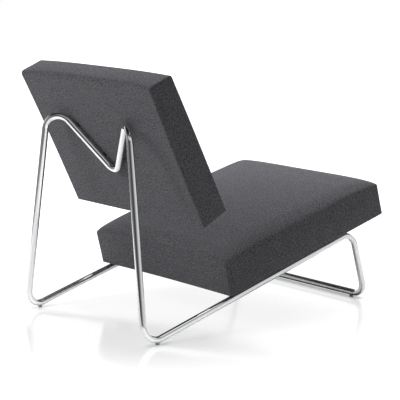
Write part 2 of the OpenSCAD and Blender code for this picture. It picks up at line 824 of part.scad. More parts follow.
// Point of the form for the outline point p at the share x of the half width
function pad_point(p, x, t) = let (
        end = 1 - pow(abs(x), pad_end_power),
        forward = min(1, max(0, p[0] / pad_head_t)),
        rise = min(1, max(0, (p[1] - pad_h + pad_rise_w) / pad_rise_w)),
        level = min(1, max(0, p[1] / pad_h))
    ) [x * (pad_half_w(p[1]) - t),
       -p[0] - forward * (pad_swell * end * pow(sin(180 * level), pad_swell_power)
           + pad_bow * (1 - pow(2 * level - 1, 2))),
       p[1] + pad_crown * end * rise];

stations = concat([for (s = station_shares) -s],
                  [for (i = [len(station_shares) - 2:-1:0]) station_shares[i]]);

// Faces that close an outline of n points from first on, in strips from its foot to its head
function cap_faces(first, n, flip) = let (
        h = n / 2,
        foot = [[0, 1, 2], [0, 2, n - 2], [0, n - 2, n - 1]],
        head = [[h, h + 1, h + 2], [h, h + 2, h - 2], [h, h - 2, h - 1]],
        strips = [for (i = [2:h - 3]) each [[i, i + 1, n - i - 1], [i, n - i - 1, n - i]]]
    ) [for (f = concat(foot, strips, head))
        let (g = [for (k = f) first + k]) flip ? backwards(g) : g];

function skin_faces(first, n, m, flip) =
    [for (j = [0:m - 2], i = [0:n - 1]) each let (k = (i + 1) % n, o = first + j * n,
            pair = [[o + i, o + k, o + n + k], [o + i, o + n + k, o + n + i]])
        [for (f = pair) flip ? backwards(f) : f]];

// Closed solid of the cushion's form, set in by t all round and by end_t at its ends
module pad_solid(t, end_t) {
    outline = pad_outline(t);
    n = len(outline);
    m = len(stations);
    polyhedron(
        points = [for (x = stations, p = outline) pad_point(p, x, end_t)],
        faces = concat(skin_faces(0, n, m, false), cap_faces(0, n, true),
                       cap_faces(n * (m - 1), n, false)));
}

// Woven strip that wraps the cushion from its foot over its head, open at both ends
module pad_wrap() {
    outer = pad_outline(0);
    inner = pad_outline(cover_t);
    n = len(outer);
    m = len(stations);
    half = n * m;
    ends = [for (e = [0, 1], i = [0:n - 1]) each let (k = (i + 1) % n, o = e * n * (m - 1),
            pair = [[o + i, half + o + i, half + o + k], [o + i, half + o + k, o + k]])
        [for (f = pair) e == 0 ? f : backwards(f)]];
    polyhedron(
        points = concat([for (x = stations, p = outer) pad_point(p, x, cover_t)],
                        [for (x = stations, p = inner) pad_point(p, x, cover_t)]),
        faces = concat(skin_faces(0, n, m, false), skin_faces(half, n, m, true), ends));
}

module back_cover() {
    color("dimgray") difference() {
        on_back() pad_wrap();
        at_studs() keyhole(stud_d + slot_clear, stud_head_d + stud_hole_clear,
                           stud_reach + 2 * cover_t);
    }
}

module back_foam() {
    gap = cover_t + seat_fit;
    color("khaki") on_back() difference() {
        pad_solid(gap, gap);
        translate([board_inset - pad_foot_w / 2, -board_front_y, board_inset])
            cube([pad_foot_w - 2 * board_inset, board_front_y + overrun, pad_h - 2 * board_inset]);
    }
}

// Flat side panel of the cover, as thick as the cover
module gusset(side) {
    outline = pad_outline(0);
    n = len(outline);
    inside = [for (p = outline) pad_point(p, side, cover_t)];
    outside = [for (p = outline) pad_point(p, side, 0)];
    rim = [for (i = [0:n - 1]) each let (k = (i + 1) % n) [[i, k, n + k], [i, n + k, n + i]]];
    faces = concat(cap_faces(0, n, true), cap_faces(n, n, false), rim);
    color("dimgray") on_back()
        polyhedron(points = concat(inside, outside),
                   faces = side > 0 ? faces : [for (f = faces) backwards(f)]);
}

module back_gusset_left() {
    gusset(1);
}

module back_gusset_right() {
    gusset(-1);
}

rear_hoop();
front_hoop();
rail_spigots();
spigot_pins();
foot_glides();
glide_rivets();
seat_saddles();
seat_bolts();
seat_washers();
seat_inserts();
seat_side_rails();
seat_front_rail();
seat_rear_rail();
seat_corner_blocks();
seat_rail_screws();
seat_long_webbing();
seat_cross_webbing();
seat_insulator();
seat_foam();
seat_cover();
seat_dust_cover();
hanging_studs();
stud_washers();
keyhole_plates();
keyhole_screws();
back_board();
back_rear_padding();
back_foam();
back_cover();
back_gusset_left();
back_gusset_right();
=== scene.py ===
"""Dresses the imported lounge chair: chromed tube frame, woven cushions, hidden parts and a white studio."""

import json
import logging
import math
from dataclasses import dataclass
from enum import Enum
from typing import Any, Callable, Sequence, Union

import bmesh
import bpy
import numpy as np
from mathutils import Matrix


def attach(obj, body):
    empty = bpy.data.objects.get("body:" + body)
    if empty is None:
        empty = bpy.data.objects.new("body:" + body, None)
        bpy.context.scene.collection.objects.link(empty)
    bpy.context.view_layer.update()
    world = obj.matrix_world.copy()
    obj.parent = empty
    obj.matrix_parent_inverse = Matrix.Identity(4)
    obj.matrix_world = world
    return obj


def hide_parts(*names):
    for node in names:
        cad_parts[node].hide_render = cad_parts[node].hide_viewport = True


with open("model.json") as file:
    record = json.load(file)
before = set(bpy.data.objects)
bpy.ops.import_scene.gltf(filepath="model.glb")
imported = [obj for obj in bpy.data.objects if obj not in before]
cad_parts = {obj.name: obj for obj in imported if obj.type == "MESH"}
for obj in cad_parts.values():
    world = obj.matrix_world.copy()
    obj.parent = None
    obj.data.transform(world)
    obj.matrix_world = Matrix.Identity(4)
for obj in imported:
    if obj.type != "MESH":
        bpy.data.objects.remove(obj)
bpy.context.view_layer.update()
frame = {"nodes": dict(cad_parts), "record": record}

LOG = logging.getLogger("lounge_chair")
MM = 0.001
Array = np.ndarray
Span = tuple[float, float]
Point = tuple[float, float, float]
Colour = tuple[float, float, float]
UP: Point = (0.0, 0.0, 1.0)
BLACK: Colour = (0.0, 0.0, 0.0)
WHITE: Colour = (1.0, 1.0, 1.0)


# Shader maths


class Value:
    """A number carried by a shader socket, so that shader maths reads as an expression."""

    def __init__(self, nodes: "Nodes", socket: bpy.types.NodeSocket) -> None:
        """Keeps the tree and the socket."""
        self.nodes = nodes
        self.socket = socket

    def _math(self, operation: str, a: Any, b: Any = 0.0, clamp: bool = False) -> "Value":
        """Adds one Math node on two values or numbers, whose result may be clamped between 0 and 1."""
        node = self.nodes.add("ShaderNodeMath", {0: a, 1: b}, operation=operation, use_clamp=clamp)
        return Value(self.nodes, node.outputs[0])

    def __add__(self, other: Any) -> "Value":
        """Sum of two values."""
        return self._math("ADD", self, other)

    __radd__ = __add__

    def __sub__(self, other: Any) -> "Value":
        """Difference of two values."""
        return self._math("SUBTRACT", self, other)

    def __rsub__(self, other: Any) -> "Value":
        """Difference with the number on the left."""
        return self._math("SUBTRACT", other, self)

    def __mul__(self, other: Any) -> "Value":
        """Product of two values."""
        return self._math("MULTIPLY", self, other)

    __rmul__ = __mul__

    def __pow__(self, other: Any) -> "Value":
        """Power of a value."""
        return self._math("POWER", self, other)

    def sine(self) -> "Value":
        """Sine of a value in radians."""
        return self._math("SINE", self)

    def at_least(self, other: Any) -> "Value":
        """The greater of two values."""
        return self._math("MAXIMUM", self, other)

    def size(self) -> "Value":
        """Absolute value."""
        return self._math("ABSOLUTE", self)

    def held(self) -> "Value":
        """The value held between 0 and 1."""
        return self._math("ADD", self, 0.0, clamp=True)

    def swing(self, amount: float) -> "Value":
        """Swing of a pattern about its middle of 0.5, times an amount."""
        return (self - 0.5) * amount

    def eased(self, low: float, high: float) -> "Value":
        """Smooth step from 0 at low to 1 at high."""
        inputs = {"Value": self, "From Min": low, "From Max": high}
        node = self.nodes.add("ShaderNodeMapRange", inputs, interpolation_type="SMOOTHSTEP")
        return Value(self.nodes, node.outputs["Result"])


Relief = tuple[Value, float, float]


class Nodes:
    """The node tree of one material or of the world."""

    def __init__(self, tree: bpy.types.NodeTree) -> None:
        """Empties the tree."""
        self.tree = tree
        tree.nodes.clear()

    def add(self, kind: str, inputs: dict[Any, Any] | None = None, **settings: Any) -> bpy.types.Node:
        """Adds a node, with its settings first and its sockets second.

        Args:
            kind: the node's type.
            inputs: numbers, colours, values or sockets, by the input's name or number.
            **settings: the node's own properties.

        Returns:
            The new node.
        """
        node = self.tree.nodes.new(kind)
        for key, setting in settings.items():
            setattr(node, key, setting)
        for key, value in (inputs or {}).items():
            socket = node.inputs[key]
            if isinstance(value, Value):
                value = value.socket
            if isinstance(value, bpy.types.NodeSocket):
                self.tree.links.new(value, socket)
            else:
                four = isinstance(value, tuple) and socket.type == "RGBA"
                socket.default_value = (*value, 1.0) if four else value
        return node

    def places(self, stretch: Point = (1.0, 1.0, 1.0), on_cloth: bool = False) -> bpy.types.NodeSocket:
        """Coordinates in metres, stretched.

        Args:
            stretch: factor along each axis.
            on_cloth: whether the piece's own UV map is read in place of Object coordinates.

        Returns:
            A vector socket.
        """
        source = (self.add("ShaderNodeUVMap", uv_map="cloth").outputs["UV"] if on_cloth
                  else self.add("ShaderNodeTexCoord").outputs["Object"])
        return self.add("ShaderNodeMapping", {"Vector": source, "Scale": stretch}).outputs["Vector"]

    def parts(self, vector: bpy.types.NodeSocket) -> tuple[Value, Value, Value]:
        """The three numbers of a vector."""
        node = self.add("ShaderNodeSeparateXYZ", {0: vector})
        return tuple(Value(self, out) for out in node.outputs)

    def noise(self, per_m: float, detail: float = 2.0, roughness: float = 0.5, distortion: float = 0.0,
              stretch: Point = (1.0, 1.0, 1.0), on_cloth: bool = False) -> Value:
        """Soft noise between 0 and 1.

        Args:
            per_m: features in one metre.
            detail: how many finer layers it has.
            roughness: how strong they are.
            distortion: how far it is warped.
            stretch: factor along each axis.
            on_cloth: whether it lies on the piece's own UV map.

        Returns:
            The noise.
        """
        node = self.add("ShaderNodeTexNoise", {
            "Vector": self.places(stretch, on_cloth), "Scale": per_m, "Detail": detail,
            "Roughness": roughness, "Distortion": distortion})
        return Value(self, node.outputs["Fac"])

    def cells(self, per_m: float) -> Value:
        """Distance from the middles of a Voronoi pattern with this many cells in one metre."""
        node = self.add("ShaderNodeTexVoronoi", {"Vector": self.places(), "Scale": per_m})
        return Value(self, node.outputs["Distance"])

    def rays(self, *kinds: str) -> tuple[Value, ...]:
        """For each kind of ray, 1 where the surface is reached by it."""
        path = self.add("ShaderNodeLightPath")
        return tuple(Value(self, path.outputs[f"Is {kind} Ray"]) for kind in kinds)

    def blend(self, share: Value, first: Any, second: Any) -> bpy.types.NodeSocket:
        """Colour between the first, at a share of 0, and the second, at a share of 1."""
        node = self.add("ShaderNodeMix", {0: share, 6: first, 7: second}, data_type="RGBA", clamp_factor=True)
        return node.outputs[2]

    def mixed(self, share: Value, first: bpy.types.Node, second: bpy.types.Node) -> bpy.types.Node:
        """Shader between the first, at a share of 0, and the second, at a share of 1."""
        return self.add("ShaderNodeMixShader", {0: share, 1: first.outputs[0], 2: second.outputs[0]})

    def finish(self, colour: Any, rough: Value, relief: Relief | None = None,
               more: dict[str, Any] | None = None) -> None:
        """Links a Principled shader to the material's output.

        Args:
            colour: Base Color.
            rough: Roughness, before it is held between 0 and 1.
            relief: height of the bump, its depth in millimetres and its strength.
            more: further inputs by name.
        """
        inputs = {"Base Color": colour, "Roughness": rough.held(), **(more or {})}
        if relief:
            height, depth_mm, strength = relief
            bump = {"Height": height, "Distance": depth_mm * MM, "Strength": strength}
            inputs["Normal"] = self.add("ShaderNodeBump", bump).outputs["Normal"]
        self.deliver(self.add("ShaderNodeBsdfPrincipled", inputs))

    def deliver(self, shader: bpy.types.Node, kind: str = "ShaderNodeOutputMaterial") -> None:
        """Links a shader node to the tree's output."""
        self.add(kind, {"Surface": shader.outputs[0]})


# Finishes


@dataclass(frozen=True)
class Finish:
    """A finish with a name; each kind paints its own node tree."""

    name: str

    def paint(self, nodes: Nodes) -> None:
        """Builds the finish's nodes."""
        raise NotImplementedError

    def material(self) -> bpy.types.Material:
        """The finish's Blender material, made once."""
        made = bpy.data.materials.get(self.name)
        if made is None:
            made = bpy.data.materials.new(self.name)
            made.use_nodes = True
            self.paint(Nodes(made.node_tree))
        return made


@dataclass(frozen=True)
class MelangeWool(Finish):
    """Woven wool of dark and light fibres: flecks along both threads over a plain weave."""

    dark: Colour = (0.026, 0.025, 0.027)
    light: Colour = (0.152, 0.149, 0.163)
    sheen: Colour = (0.80, 0.82, 0.88)
    thread_mm: float = 1.4
    fleck_mm: float = 7.5
    flecks_per_thread: float = 0.45
    crossing: float = 0.35
    blotch_per_m: float = 235.0
    cloud_per_m: float = 30.0
    fuzz_per_m: float = 1500.0
    light_share: float = 0.40
    relief_mm: float = 0.34

    def paint(self, nodes: Nodes) -> None:
        """Weaves warp over weft in squares of one thread, each thread with its own flecks."""
        u, v, _ = nodes.parts(nodes.places(on_cloth=True))
        turn = math.pi / (self.thread_mm * MM)
        warp, weft = (u * turn).sine(), (v * turn).sine()
        over = (warp * weft).eased(-self.crossing, self.crossing)
        height = over * warp.size() + (1.0 - over) * weft.size()
        long_way, short_way = 1.0 / (self.fleck_mm * MM), self.flecks_per_thread / (self.thread_mm * MM)
        across = nodes.noise(1.0, 3.0, 0.62, stretch=(long_way, short_way, 1.0), on_cloth=True)
        along = nodes.noise(1.0, 3.0, 0.62, stretch=(short_way, long_way, 1.0), on_cloth=True)
        blotch = nodes.noise(self.blotch_per_m, 2.0, 0.6, on_cloth=True)
        cloud = nodes.noise(self.cloud_per_m, on_cloth=True)
        fuzz = nodes.noise(self.fuzz_per_m, 2.0, 0.7, on_cloth=True)
        fleck = over * across + (1.0 - over) * along
        # The weave's height lightens the raised threads a little: a painted highlight, with painted shade in
        # the hollows between them.
        share = fleck.swing(3.4) + blotch.swing(1.7) + cloud.swing(0.3) + height * 0.14 + self.light_share
        nodes.finish(nodes.blend(share.held(), self.dark, self.light), 0.86 + fleck.swing(0.2),
                     (height * 0.75 + fuzz * 0.5 + fleck * 0.3, self.relief_mm, 0.55),
                     {"Specular IOR Level": 0.22, "Sheen Weight": 0.10, "Sheen Roughness": 0.55,
                      "Sheen Tint": self.sheen})


@dataclass(frozen=True)
class MirrorChrome(Finish):
    """Polished chrome plating: a near mirror with faint polishing lines and handling marks."""

    tint: Colour = (0.80, 0.81, 0.825)
    smudged: float = 0.93
    polish: Point = (40.0, 2600.0, 1.0)
    marks_per_m: float = 34.0
    ripple_per_m: float = 60.0
    mirror_rough: float = 0.018

    def paint(self, nodes: Nodes) -> None:
        """Polishing lines run round the tube in its UV map; marks come from coarse noise."""
        lines = nodes.noise(1.0, 2.0, 0.6, stretch=self.polish, on_cloth=True)
        smudge = nodes.noise(self.marks_per_m, 4.0, 0.62, 0.6).eased(0.52, 0.78)
        ripple = nodes.noise(self.ripple_per_m, 1.0, 0.4)
        dull = tuple(self.smudged * c for c in self.tint)
        rough = self.mirror_rough + smudge * 0.05 + lines * 0.02
        nodes.finish(nodes.blend(smudge * 0.5, self.tint, dull), rough,
                     (ripple * 0.5 + lines * 0.04, 0.05, 0.3), {"Metallic": 1.0})


@dataclass(frozen=True)
class PlatedSteel(Finish):
    """Zinc plated hardware with crystal spangle and a faint yellow passivation."""

    tint: Colour = (0.60, 0.61, 0.62)
    warm: Colour = (0.62, 0.58, 0.47)
    spangle_per_m: float = 900.0
    drift_per_m: float = 120.0

    def paint(self, nodes: Nodes) -> None:
        """Spangle changes the roughness cell by cell, and the passivation drifts over it."""
        spangle, drift = nodes.cells(self.spangle_per_m), nodes.noise(self.drift_per_m, 3.0)
        nodes.finish(nodes.blend(drift.eased(0.45, 0.75) * 0.6, self.tint, self.warm),
                     0.26 + spangle * 0.3 + drift * 0.12, (spangle + drift, 0.05, 0.4), {"Metallic": 1.0})


@dataclass(frozen=True)
class TurnedBrass(Finish):
    """Turned brass with tool rings and a little tarnish."""

    tint: Colour = (0.72, 0.56, 0.28)
    tarnish: Colour = (0.42, 0.31, 0.14)
    ring_turn: float = 9000.0
    patches_per_m: float = 260.0

    def paint(self, nodes: Nodes) -> None:
        """Fine rings along the height, tarnish in soft patches."""
        _, _, z = nodes.parts(nodes.places())
        patches = nodes.noise(self.patches_per_m, 4.0, 0.6)
        nodes.finish(nodes.blend(patches.eased(0.5, 0.8), self.tint, self.tarnish), 0.24 + patches * 0.24,
                     ((z * self.ring_turn).sine(), 0.02, 0.4), {"Metallic": 1.0})


@dataclass(frozen=True)
class MouldedPlastic(Finish):
    """Moulded plastic with a fine spark-eroded grain and scuffs."""

    tint: Colour
    scuffed: Colour
    grain_per_m: float = 2600.0
    scuffs: Point = (240.0, 240.0, 900.0)
    scuff_h: float = 0.004

    def paint(self, nodes: Nodes) -> None:
        """Grain in the bump, scuffs as noise near the floor."""
        grain = nodes.noise(self.grain_per_m, 3.0, 0.65)
        _, _, z = nodes.parts(nodes.places())
        wear = nodes.noise(1.0, 4.0, 0.7, stretch=self.scuffs).eased(0.5, 0.72)
        wear = wear * (1.0 - z.eased(0.0, self.scuff_h)) * 0.45
        nodes.finish(nodes.blend(wear, self.tint, self.scuffed), 0.42 + grain * 0.2 + wear * 0.3,
                     (grain, 0.06, 0.5))


@dataclass(frozen=True)
class Timber(Finish):
    """Planed beech and birch plywood: rays and growth rings stretched along the piece."""

    early: Colour = (0.64, 0.47, 0.29)
    late: Colour = (0.45, 0.29, 0.16)
    along: Point = (16.0, 3.0, 70.0)
    ring_turn: float = 46.0
    pore_fineness: float = 22.0

    def paint(self, nodes: Nodes) -> None:
        """Rings from distorted noise stretched along the grain, pores as fine dashes."""
        rings = nodes.noise(1.0, 4.0, 0.55, 1.2, stretch=self.along)
        bands = (rings * self.ring_turn).sine() * 0.5 + 0.5
        pores = nodes.noise(1.0, 2.0, 0.7, stretch=tuple(c * self.pore_fineness for c in self.along))
        share = (bands * 0.5 + pores.swing(0.7) + 0.15).held()
        nodes.finish(nodes.blend(share, self.early, self.late), 0.56 + pores * 0.25,
                     (pores * 0.7 + bands * 0.3, 0.12, 0.5))


@dataclass(frozen=True)
class StrapWeave(Finish):
    """Close twill of upholstery webbing, with painted shade in the hollows between its ribs."""

    yarn: Colour = (0.20, 0.155, 0.105)
    dark_yarn_and_rib_shade: Colour = (0.085, 0.065, 0.045)
    rib_mm: float = 1.6
    fibre_per_m: float = 1300.0

    def paint(self, nodes: Nodes) -> None:
        """Diagonal ribs from the sum of the coordinates, fibre noise on top."""
        x, y, z = nodes.parts(nodes.places())
        ribs = ((x + y + z * 0.3) * (2 * math.pi / (self.rib_mm * MM))).sine() * 0.5 + 0.5
        fibre = nodes.noise(self.fibre_per_m, 3.0, 0.7)
        # The darker colour in the ribs' hollows is painted shade; the fibre noise is the yarn's own tone.
        nodes.finish(nodes.blend((ribs * 0.7 + fibre.swing(0.9)).held(), self.dark_yarn_and_rib_shade, self.yarn),
                     0.75 + fibre * 0.2, (ribs + fibre * 0.5, 0.4, 0.7))


@dataclass(frozen=True)
class LooseFibre(Finish):
    """Pressed felt, open-cell foam or non-woven cloth: two shades in noise with a soft bump."""

    base: Colour
    fleck: Colour
    cell_per_m: float
    depth_mm: float
    sheen: float = 0.1
    fibre_fineness: float = 1.7
    drift_per_m: float = 14.0

    def paint(self, nodes: Nodes) -> None:
        """Cells from a Voronoi pattern, fibres from fine noise, drift from coarse noise."""
        cells = nodes.cells(self.cell_per_m)
        fibre = nodes.noise(self.cell_per_m * self.fibre_fineness, 4.0, 0.7)
        drift = nodes.noise(self.drift_per_m)
        share = (cells * 0.6 + fibre.swing(1.2) + drift.swing(0.6) + 0.2).held()
        nodes.finish(nodes.blend(share, self.base, self.fleck), 0.8 + fibre * 0.15,
                     (cells + fibre, self.depth_mm, 0.6), {"Sheen Weight": self.sheen})


@dataclass(frozen=True)
class StudioFloor(Finish):
    """Glossy white studio floor: keeps the chair's shadow and mirror image, and clears to white further out.

    Lengths are metres from the middle of the chair, and levels are shares of white. For the camera, plain
    light takes the place of a share of the paint, lifted: near_level beside the chair and full white past
    clear_span. Where the tube stands on the floor, an occlusion mask paints contact shade into both, at the
    back by rear_contact of that. In the chrome the floor is painted dimmer in front and brighter over
    mirror_span, carries painted shade under the seat and goes dark past paper_end.
    """

    white: float = 0.90
    lifted: float = 0.72
    near_level: float = 0.61
    clear_span: Span = (0.45, 1.05)
    # Painted light and shade on the floor as the chrome mirrors it: dimmer in front, brighter to the rear.
    mirror_lift: Span = (0.08, 0.50)
    mirror_span: Span = (-0.30, 0.25)
    front_dim: float = 0.25
    paper_end: Span = (1.3, 2.4)
    beyond: float = 0.2
    # Painted contact shade round the tube: the occlusion reach, its power and its share at the back.
    contact: float = 0.018
    contact_shade_power: float = 1.6
    rear_contact: float = 0.3
    # Painted shade on the floor under the seat, as the chrome mirrors it.
    under_half: float = 0.30
    under_span: Span = (-0.40, 0.05)
    under_soft: float = 0.10
    seat_shade: float = 0.32
    grain_per_m: float = 5.0

    def under_seat(self, x: Value, y: Value) -> Value:
        """1 in the soft-edged rectangle under the seat, where painted shade goes, and 0 outside it."""
        soft, (front, rear) = self.under_soft, self.under_span
        across = 1.0 - x.size().eased(self.under_half - soft, self.under_half + soft)
        return across * y.eased(front - soft, front + soft) * (1.0 - y.eased(rear - soft, rear + soft))

    def paint(self, nodes: Nodes) -> None:
        """Mixes paint and plain light by the kind of ray and the distance, and paints contact shade round the
        tube.
        """
        x, y, _ = nodes.parts(nodes.places())
        ring = (x * x + y * y) ** 0.5
        seen, mirrored = nodes.rays("Camera", "Glossy")
        rearward = y.eased(*self.mirror_span)
        # Painted contact shade: an occlusion mask darkens the floor where the tube stands on it, less at the
        # back.
        near = nodes.add("ShaderNodeAmbientOcclusion", {"Distance": self.contact}, samples=8)
        contact_shade = (1.0 - Value(nodes, near.outputs["AO"])) * (1.0 - rearward * (1.0 - self.rear_contact))
        unshaded = 1.0 - contact_shade
        off_paper = ring.eased(*self.paper_end)
        # Painted light in the chrome's view of the floor, brighter towards the rear.
        front_lift, rear_lift = self.mirror_lift
        mirror_lift = rearward * (rear_lift - front_lift) + front_lift
        lift = seen + mirrored * (1.0 - off_paper) * mirror_lift
        # The painted contact shade darkens the lift.
        lift = lift * (unshaded ** self.contact_shade_power * self.near_level)
        lift = lift + seen * ring.eased(*self.clear_span) * (1.0 - self.near_level)
        paint = self.white * (1.0 - mirrored * off_paper * (1.0 - self.beyond))
        # Painted shade in front and under the seat in the chrome's view, and painted contact shade on the
        # paint.
        paint = paint * (1.0 - mirrored * (1.0 - rearward) * self.front_dim)
        paint = paint * (1.0 - seen * self.lifted) * unshaded
        paint = paint * (1.0 - mirrored * self.under_seat(x, y) * self.seat_shade)
        nodes.finish(nodes.blend(paint, BLACK, WHITE), 0.10 + nodes.noise(self.grain_per_m, 3.0) * 0.04,
                     more={"Emission Color": nodes.blend(lift, BLACK, WHITE), "Emission Strength": 1.0})


class Slot(Enum):
    """The record's material slots."""

    CHROME = "chrome_tube"
    ZINC = "zinc_steel"
    BRASS = "brass"
    NYLON = "glide_nylon"
    RUBBER = "black_rubber"
    TIMBER = "timber"
    WEBBING = "webbing"
    FELT = "felt"
    FOAM = "foam"
    WOOL = "grey_wool"
    BASE_CLOTH = "base_cloth"


FINISHES: dict[Slot, Finish] = {
    Slot.CHROME: MirrorChrome("mirror_chrome"),
    Slot.ZINC: PlatedSteel("zinc_plated_steel"),
    Slot.BRASS: TurnedBrass("turned_brass"),
    Slot.NYLON: MouldedPlastic("grey_nylon", (0.82, 0.83, 0.83), (0.60, 0.60, 0.59)),
    Slot.RUBBER: MouldedPlastic("black_rubber", (0.022, 0.022, 0.022), (0.05, 0.05, 0.05), 1400.0),
    Slot.TIMBER: Timber("planed_beech"),
    Slot.WEBBING: StrapWeave("jute_webbing"),
    Slot.FELT: LooseFibre("pressed_felt", (0.42, 0.39, 0.34), (0.25, 0.22, 0.20), 700.0, 0.5, 0.2),
    Slot.FOAM: LooseFibre("cream_foam", (0.80, 0.73, 0.50), (0.58, 0.49, 0.28), 1100.0, 0.35, 0.0),
    Slot.WOOL: MelangeWool("melange_wool"),
    Slot.BASE_CLOTH: LooseFibre("black_base_cloth", (0.016, 0.016, 0.018), (0.045, 0.045, 0.05), 420.0, 0.12),
}


# Places and directions as arrays


def cos_sin(degrees: float) -> Span:
    """Cosine and sine of an angle in degrees."""
    return math.cos(math.radians(degrees)), math.sin(math.radians(degrees))


def unit(vectors: Array) -> Array:
    """A vector, or each of several, divided by its length."""
    return vectors / np.linalg.norm(vectors, axis=-1, keepdims=True)


def turned(points: Array, degrees: float) -> Array:
    """Points turned about the X axis."""
    c, s = cos_sin(degrees)
    return points @ np.array([[1, 0, 0], [0, c, -s], [0, s, c]]).T


def stacked(*parts: Array) -> Array:
    """Coordinates brought to one common shape and stacked into points."""
    return np.stack(np.broadcast_arrays(*parts), -1)


def run_along(points: Array) -> Array:
    """Length of the way to each point along the first axis: the sum of the distances before it."""
    steps = np.linalg.norm(np.diff(points, axis=0), axis=-1)
    return np.concatenate([np.zeros((1, *steps.shape[1:])), np.cumsum(steps, 0)])


def ramp(values: Array, start: float, length: float) -> Array:
    """Rises evenly from 0 at start to 1 a length further on, and is held outside."""
    return np.clip((values - start) / length, 0, 1)


# Meshes


def new_piece(name: str, points: Array, faces: Array, cloth: Array | None = None,
              seam: Array | None = None) -> bpy.types.Object:
    """Makes an object from vertices and quads.

    Args:
        name: the piece's name.
        points: (n, 3) places in metres.
        faces: (m, 4) vertex numbers.
        cloth: (n, 2) place of each vertex on the flat cloth in metres, if the piece has one.
        seam: distance of each vertex from the nearest seam in millimetres, kept as an attribute.

    Returns:
        The object, linked to the scene at the origin, smooth, its doubles merged and facing outwards.
    """
    mesh = bpy.data.meshes.new(name)
    mesh.from_pydata(points.tolist(), [], faces.tolist())
    if cloth is not None:
        layer = mesh.uv_layers.new(name="cloth")
        layer.data.foreach_set("uv", cloth[faces.ravel()].astype(np.float32).ravel())
    if seam is not None:
        mesh.attributes.new("seam", "FLOAT", "POINT").data.foreach_set("value", seam.astype(np.float32))
    edit_mesh(mesh, lambda form: bmesh.ops.remove_doubles(form, verts=form.verts, dist=0.002 * MM))
    face_out(mesh)
    mesh.shade_smooth()
    piece = bpy.data.objects.new(name, mesh)
    bpy.context.scene.collection.objects.link(piece)
    return piece


def edit_mesh(mesh: bpy.types.Mesh, change: Callable[[bmesh.types.BMesh], Any]) -> None:
    """Runs one change on a mesh through bmesh."""
    form = bmesh.new()
    form.from_mesh(mesh)
    change(form)
    form.to_mesh(mesh)
    form.free()


def read(items: Any, name: str, width: int = 3, kind: type = np.float32) -> Array:
    """(n, width) numbers of one property of every item of a mesh."""
    out = np.zeros(len(items) * width, kind)
    items.foreach_get(name, out)
    return out.reshape(-1, width).astype(float if kind is np.float32 else kind)


def face_out(mesh: bpy.types.Mesh) -> None:
    """Turns every face round if the mesh faces inwards: the sum over the faces of centre times normal times
    area, from the middle of the mesh, is negative then."""
    centre, normal = read(mesh.polygons, "center"), read(mesh.polygons, "normal")
    area = read(mesh.polygons, "area", 1)
    middle = (centre * area).sum(0) / area.sum()
    if ((centre - middle) * normal * area).sum() < 0:
        mesh.flip_normals()


def grid_piece(name: str, grids: Sequence[Array], cloths: Sequence[Array] = (),
               seams: Sequence[Array] = ()) -> bpy.types.Object:
    """Joins several grids of points into one piece of quads, each vertex with the next of its row and column.

    Args:
        name: the piece's name.
        grids: (rows, columns, 3) points of each grid in metres.
        cloths: places of the same points on the flat cloth.
        seams: distances of the same points from the nearest seam.

    Returns:
        The piece.
    """
    faces, first = [], 0
    for grid in grids:
        rows, columns = grid.shape[:2]
        i, j = np.meshgrid(np.arange(rows - 1), np.arange(columns - 1), indexing="ij")
        a = (first + i * columns + j).ravel()
        faces.append(np.stack([a, a + columns, a + columns + 1, a + 1], 1))
        first += rows * columns
    return new_piece(name, np.concatenate([grid.reshape(-1, 3) for grid in grids]), np.concatenate(faces),
                     np.concatenate([cloth.reshape(-1, 2) for cloth in cloths]) if cloths else None,
                     np.concatenate([seam.ravel() for seam in seams]) if seams else None)


def places_of(piece: bpy.types.Object) -> Array:
    """(n, 3) vertex places of a piece."""
    return read(piece.data.vertices, "co")


def normals_of(piece: bpy.types.Object) -> Array:
    """(n, 3) vertex normals of a piece."""
    return read(piece.data.vertices, "normal")


def seam_of(piece: bpy.types.Object) -> Array:
    """Distance of each vertex from the nearest seam in millimetres, from the piece's own attribute."""
    return read(piece.data.attributes["seam"].data, "value", 1)[:, 0]


def shift(piece: bpy.types.Object, way: Array, amount_mm: Array) -> None:
    """Moves each vertex along its own direction by its own amount."""
    places = places_of(piece) + way * (amount_mm * MM)[:, None]
    piece.data.vertices.foreach_set("co", places.astype(np.float32).ravel())
    piece.data.update()


def face_towards(piece: bpy.types.Object, way: Array) -> None:
    """Turns a sheet round if its faces look away from a direction."""
    if normals_of(piece).mean(0) @ way < 0:
        piece.data.flip_normals()


def evened(piece: bpy.types.Object, values: Array, rounds: int) -> Array:
    """Spreads one value a vertex over its neighbours.

    Each round takes half the value and half the mean of the vertices at the other ends of its edges.

    Args:
        piece: the piece.
        values: one value a vertex.
        rounds: how often it is done.

    Returns:
        The values spread out.
    """
    edges = read(piece.data.edges, "vertices", 2, np.int32)
    (a, b), count = edges.T, len(values)
    meeting = np.maximum(np.bincount(edges.ravel(), minlength=count), 1)
    for _ in range(rounds):
        around = np.bincount(a, values[b], count) + np.bincount(b, values[a], count)
        values = 0.5 * values + 0.5 * around / meeting
    return values


def modify(piece: bpy.types.Object, kind: str, **settings: Any) -> None:
    """Puts a modifier on a piece and applies it with all the others, so that none is left.

    Args:
        piece: the piece.
        kind: the modifier's type.
        **settings: its properties.
    """
    modifier = piece.modifiers.new(kind.lower(), kind)
    for key, setting in settings.items():
        setattr(modifier, key, setting)
    apply_all(piece)


def apply_all(piece: bpy.types.Object) -> None:
    """Applies every modifier of a piece."""
    graph = bpy.context.evaluated_depsgraph_get()
    seen = piece.evaluated_get(graph)
    mesh = bpy.data.meshes.new_from_object(seen, preserve_all_data_layers=True, depsgraph=graph)
    piece.modifiers.clear()
    old, piece.data = piece.data, mesh
    bpy.data.meshes.remove(old)


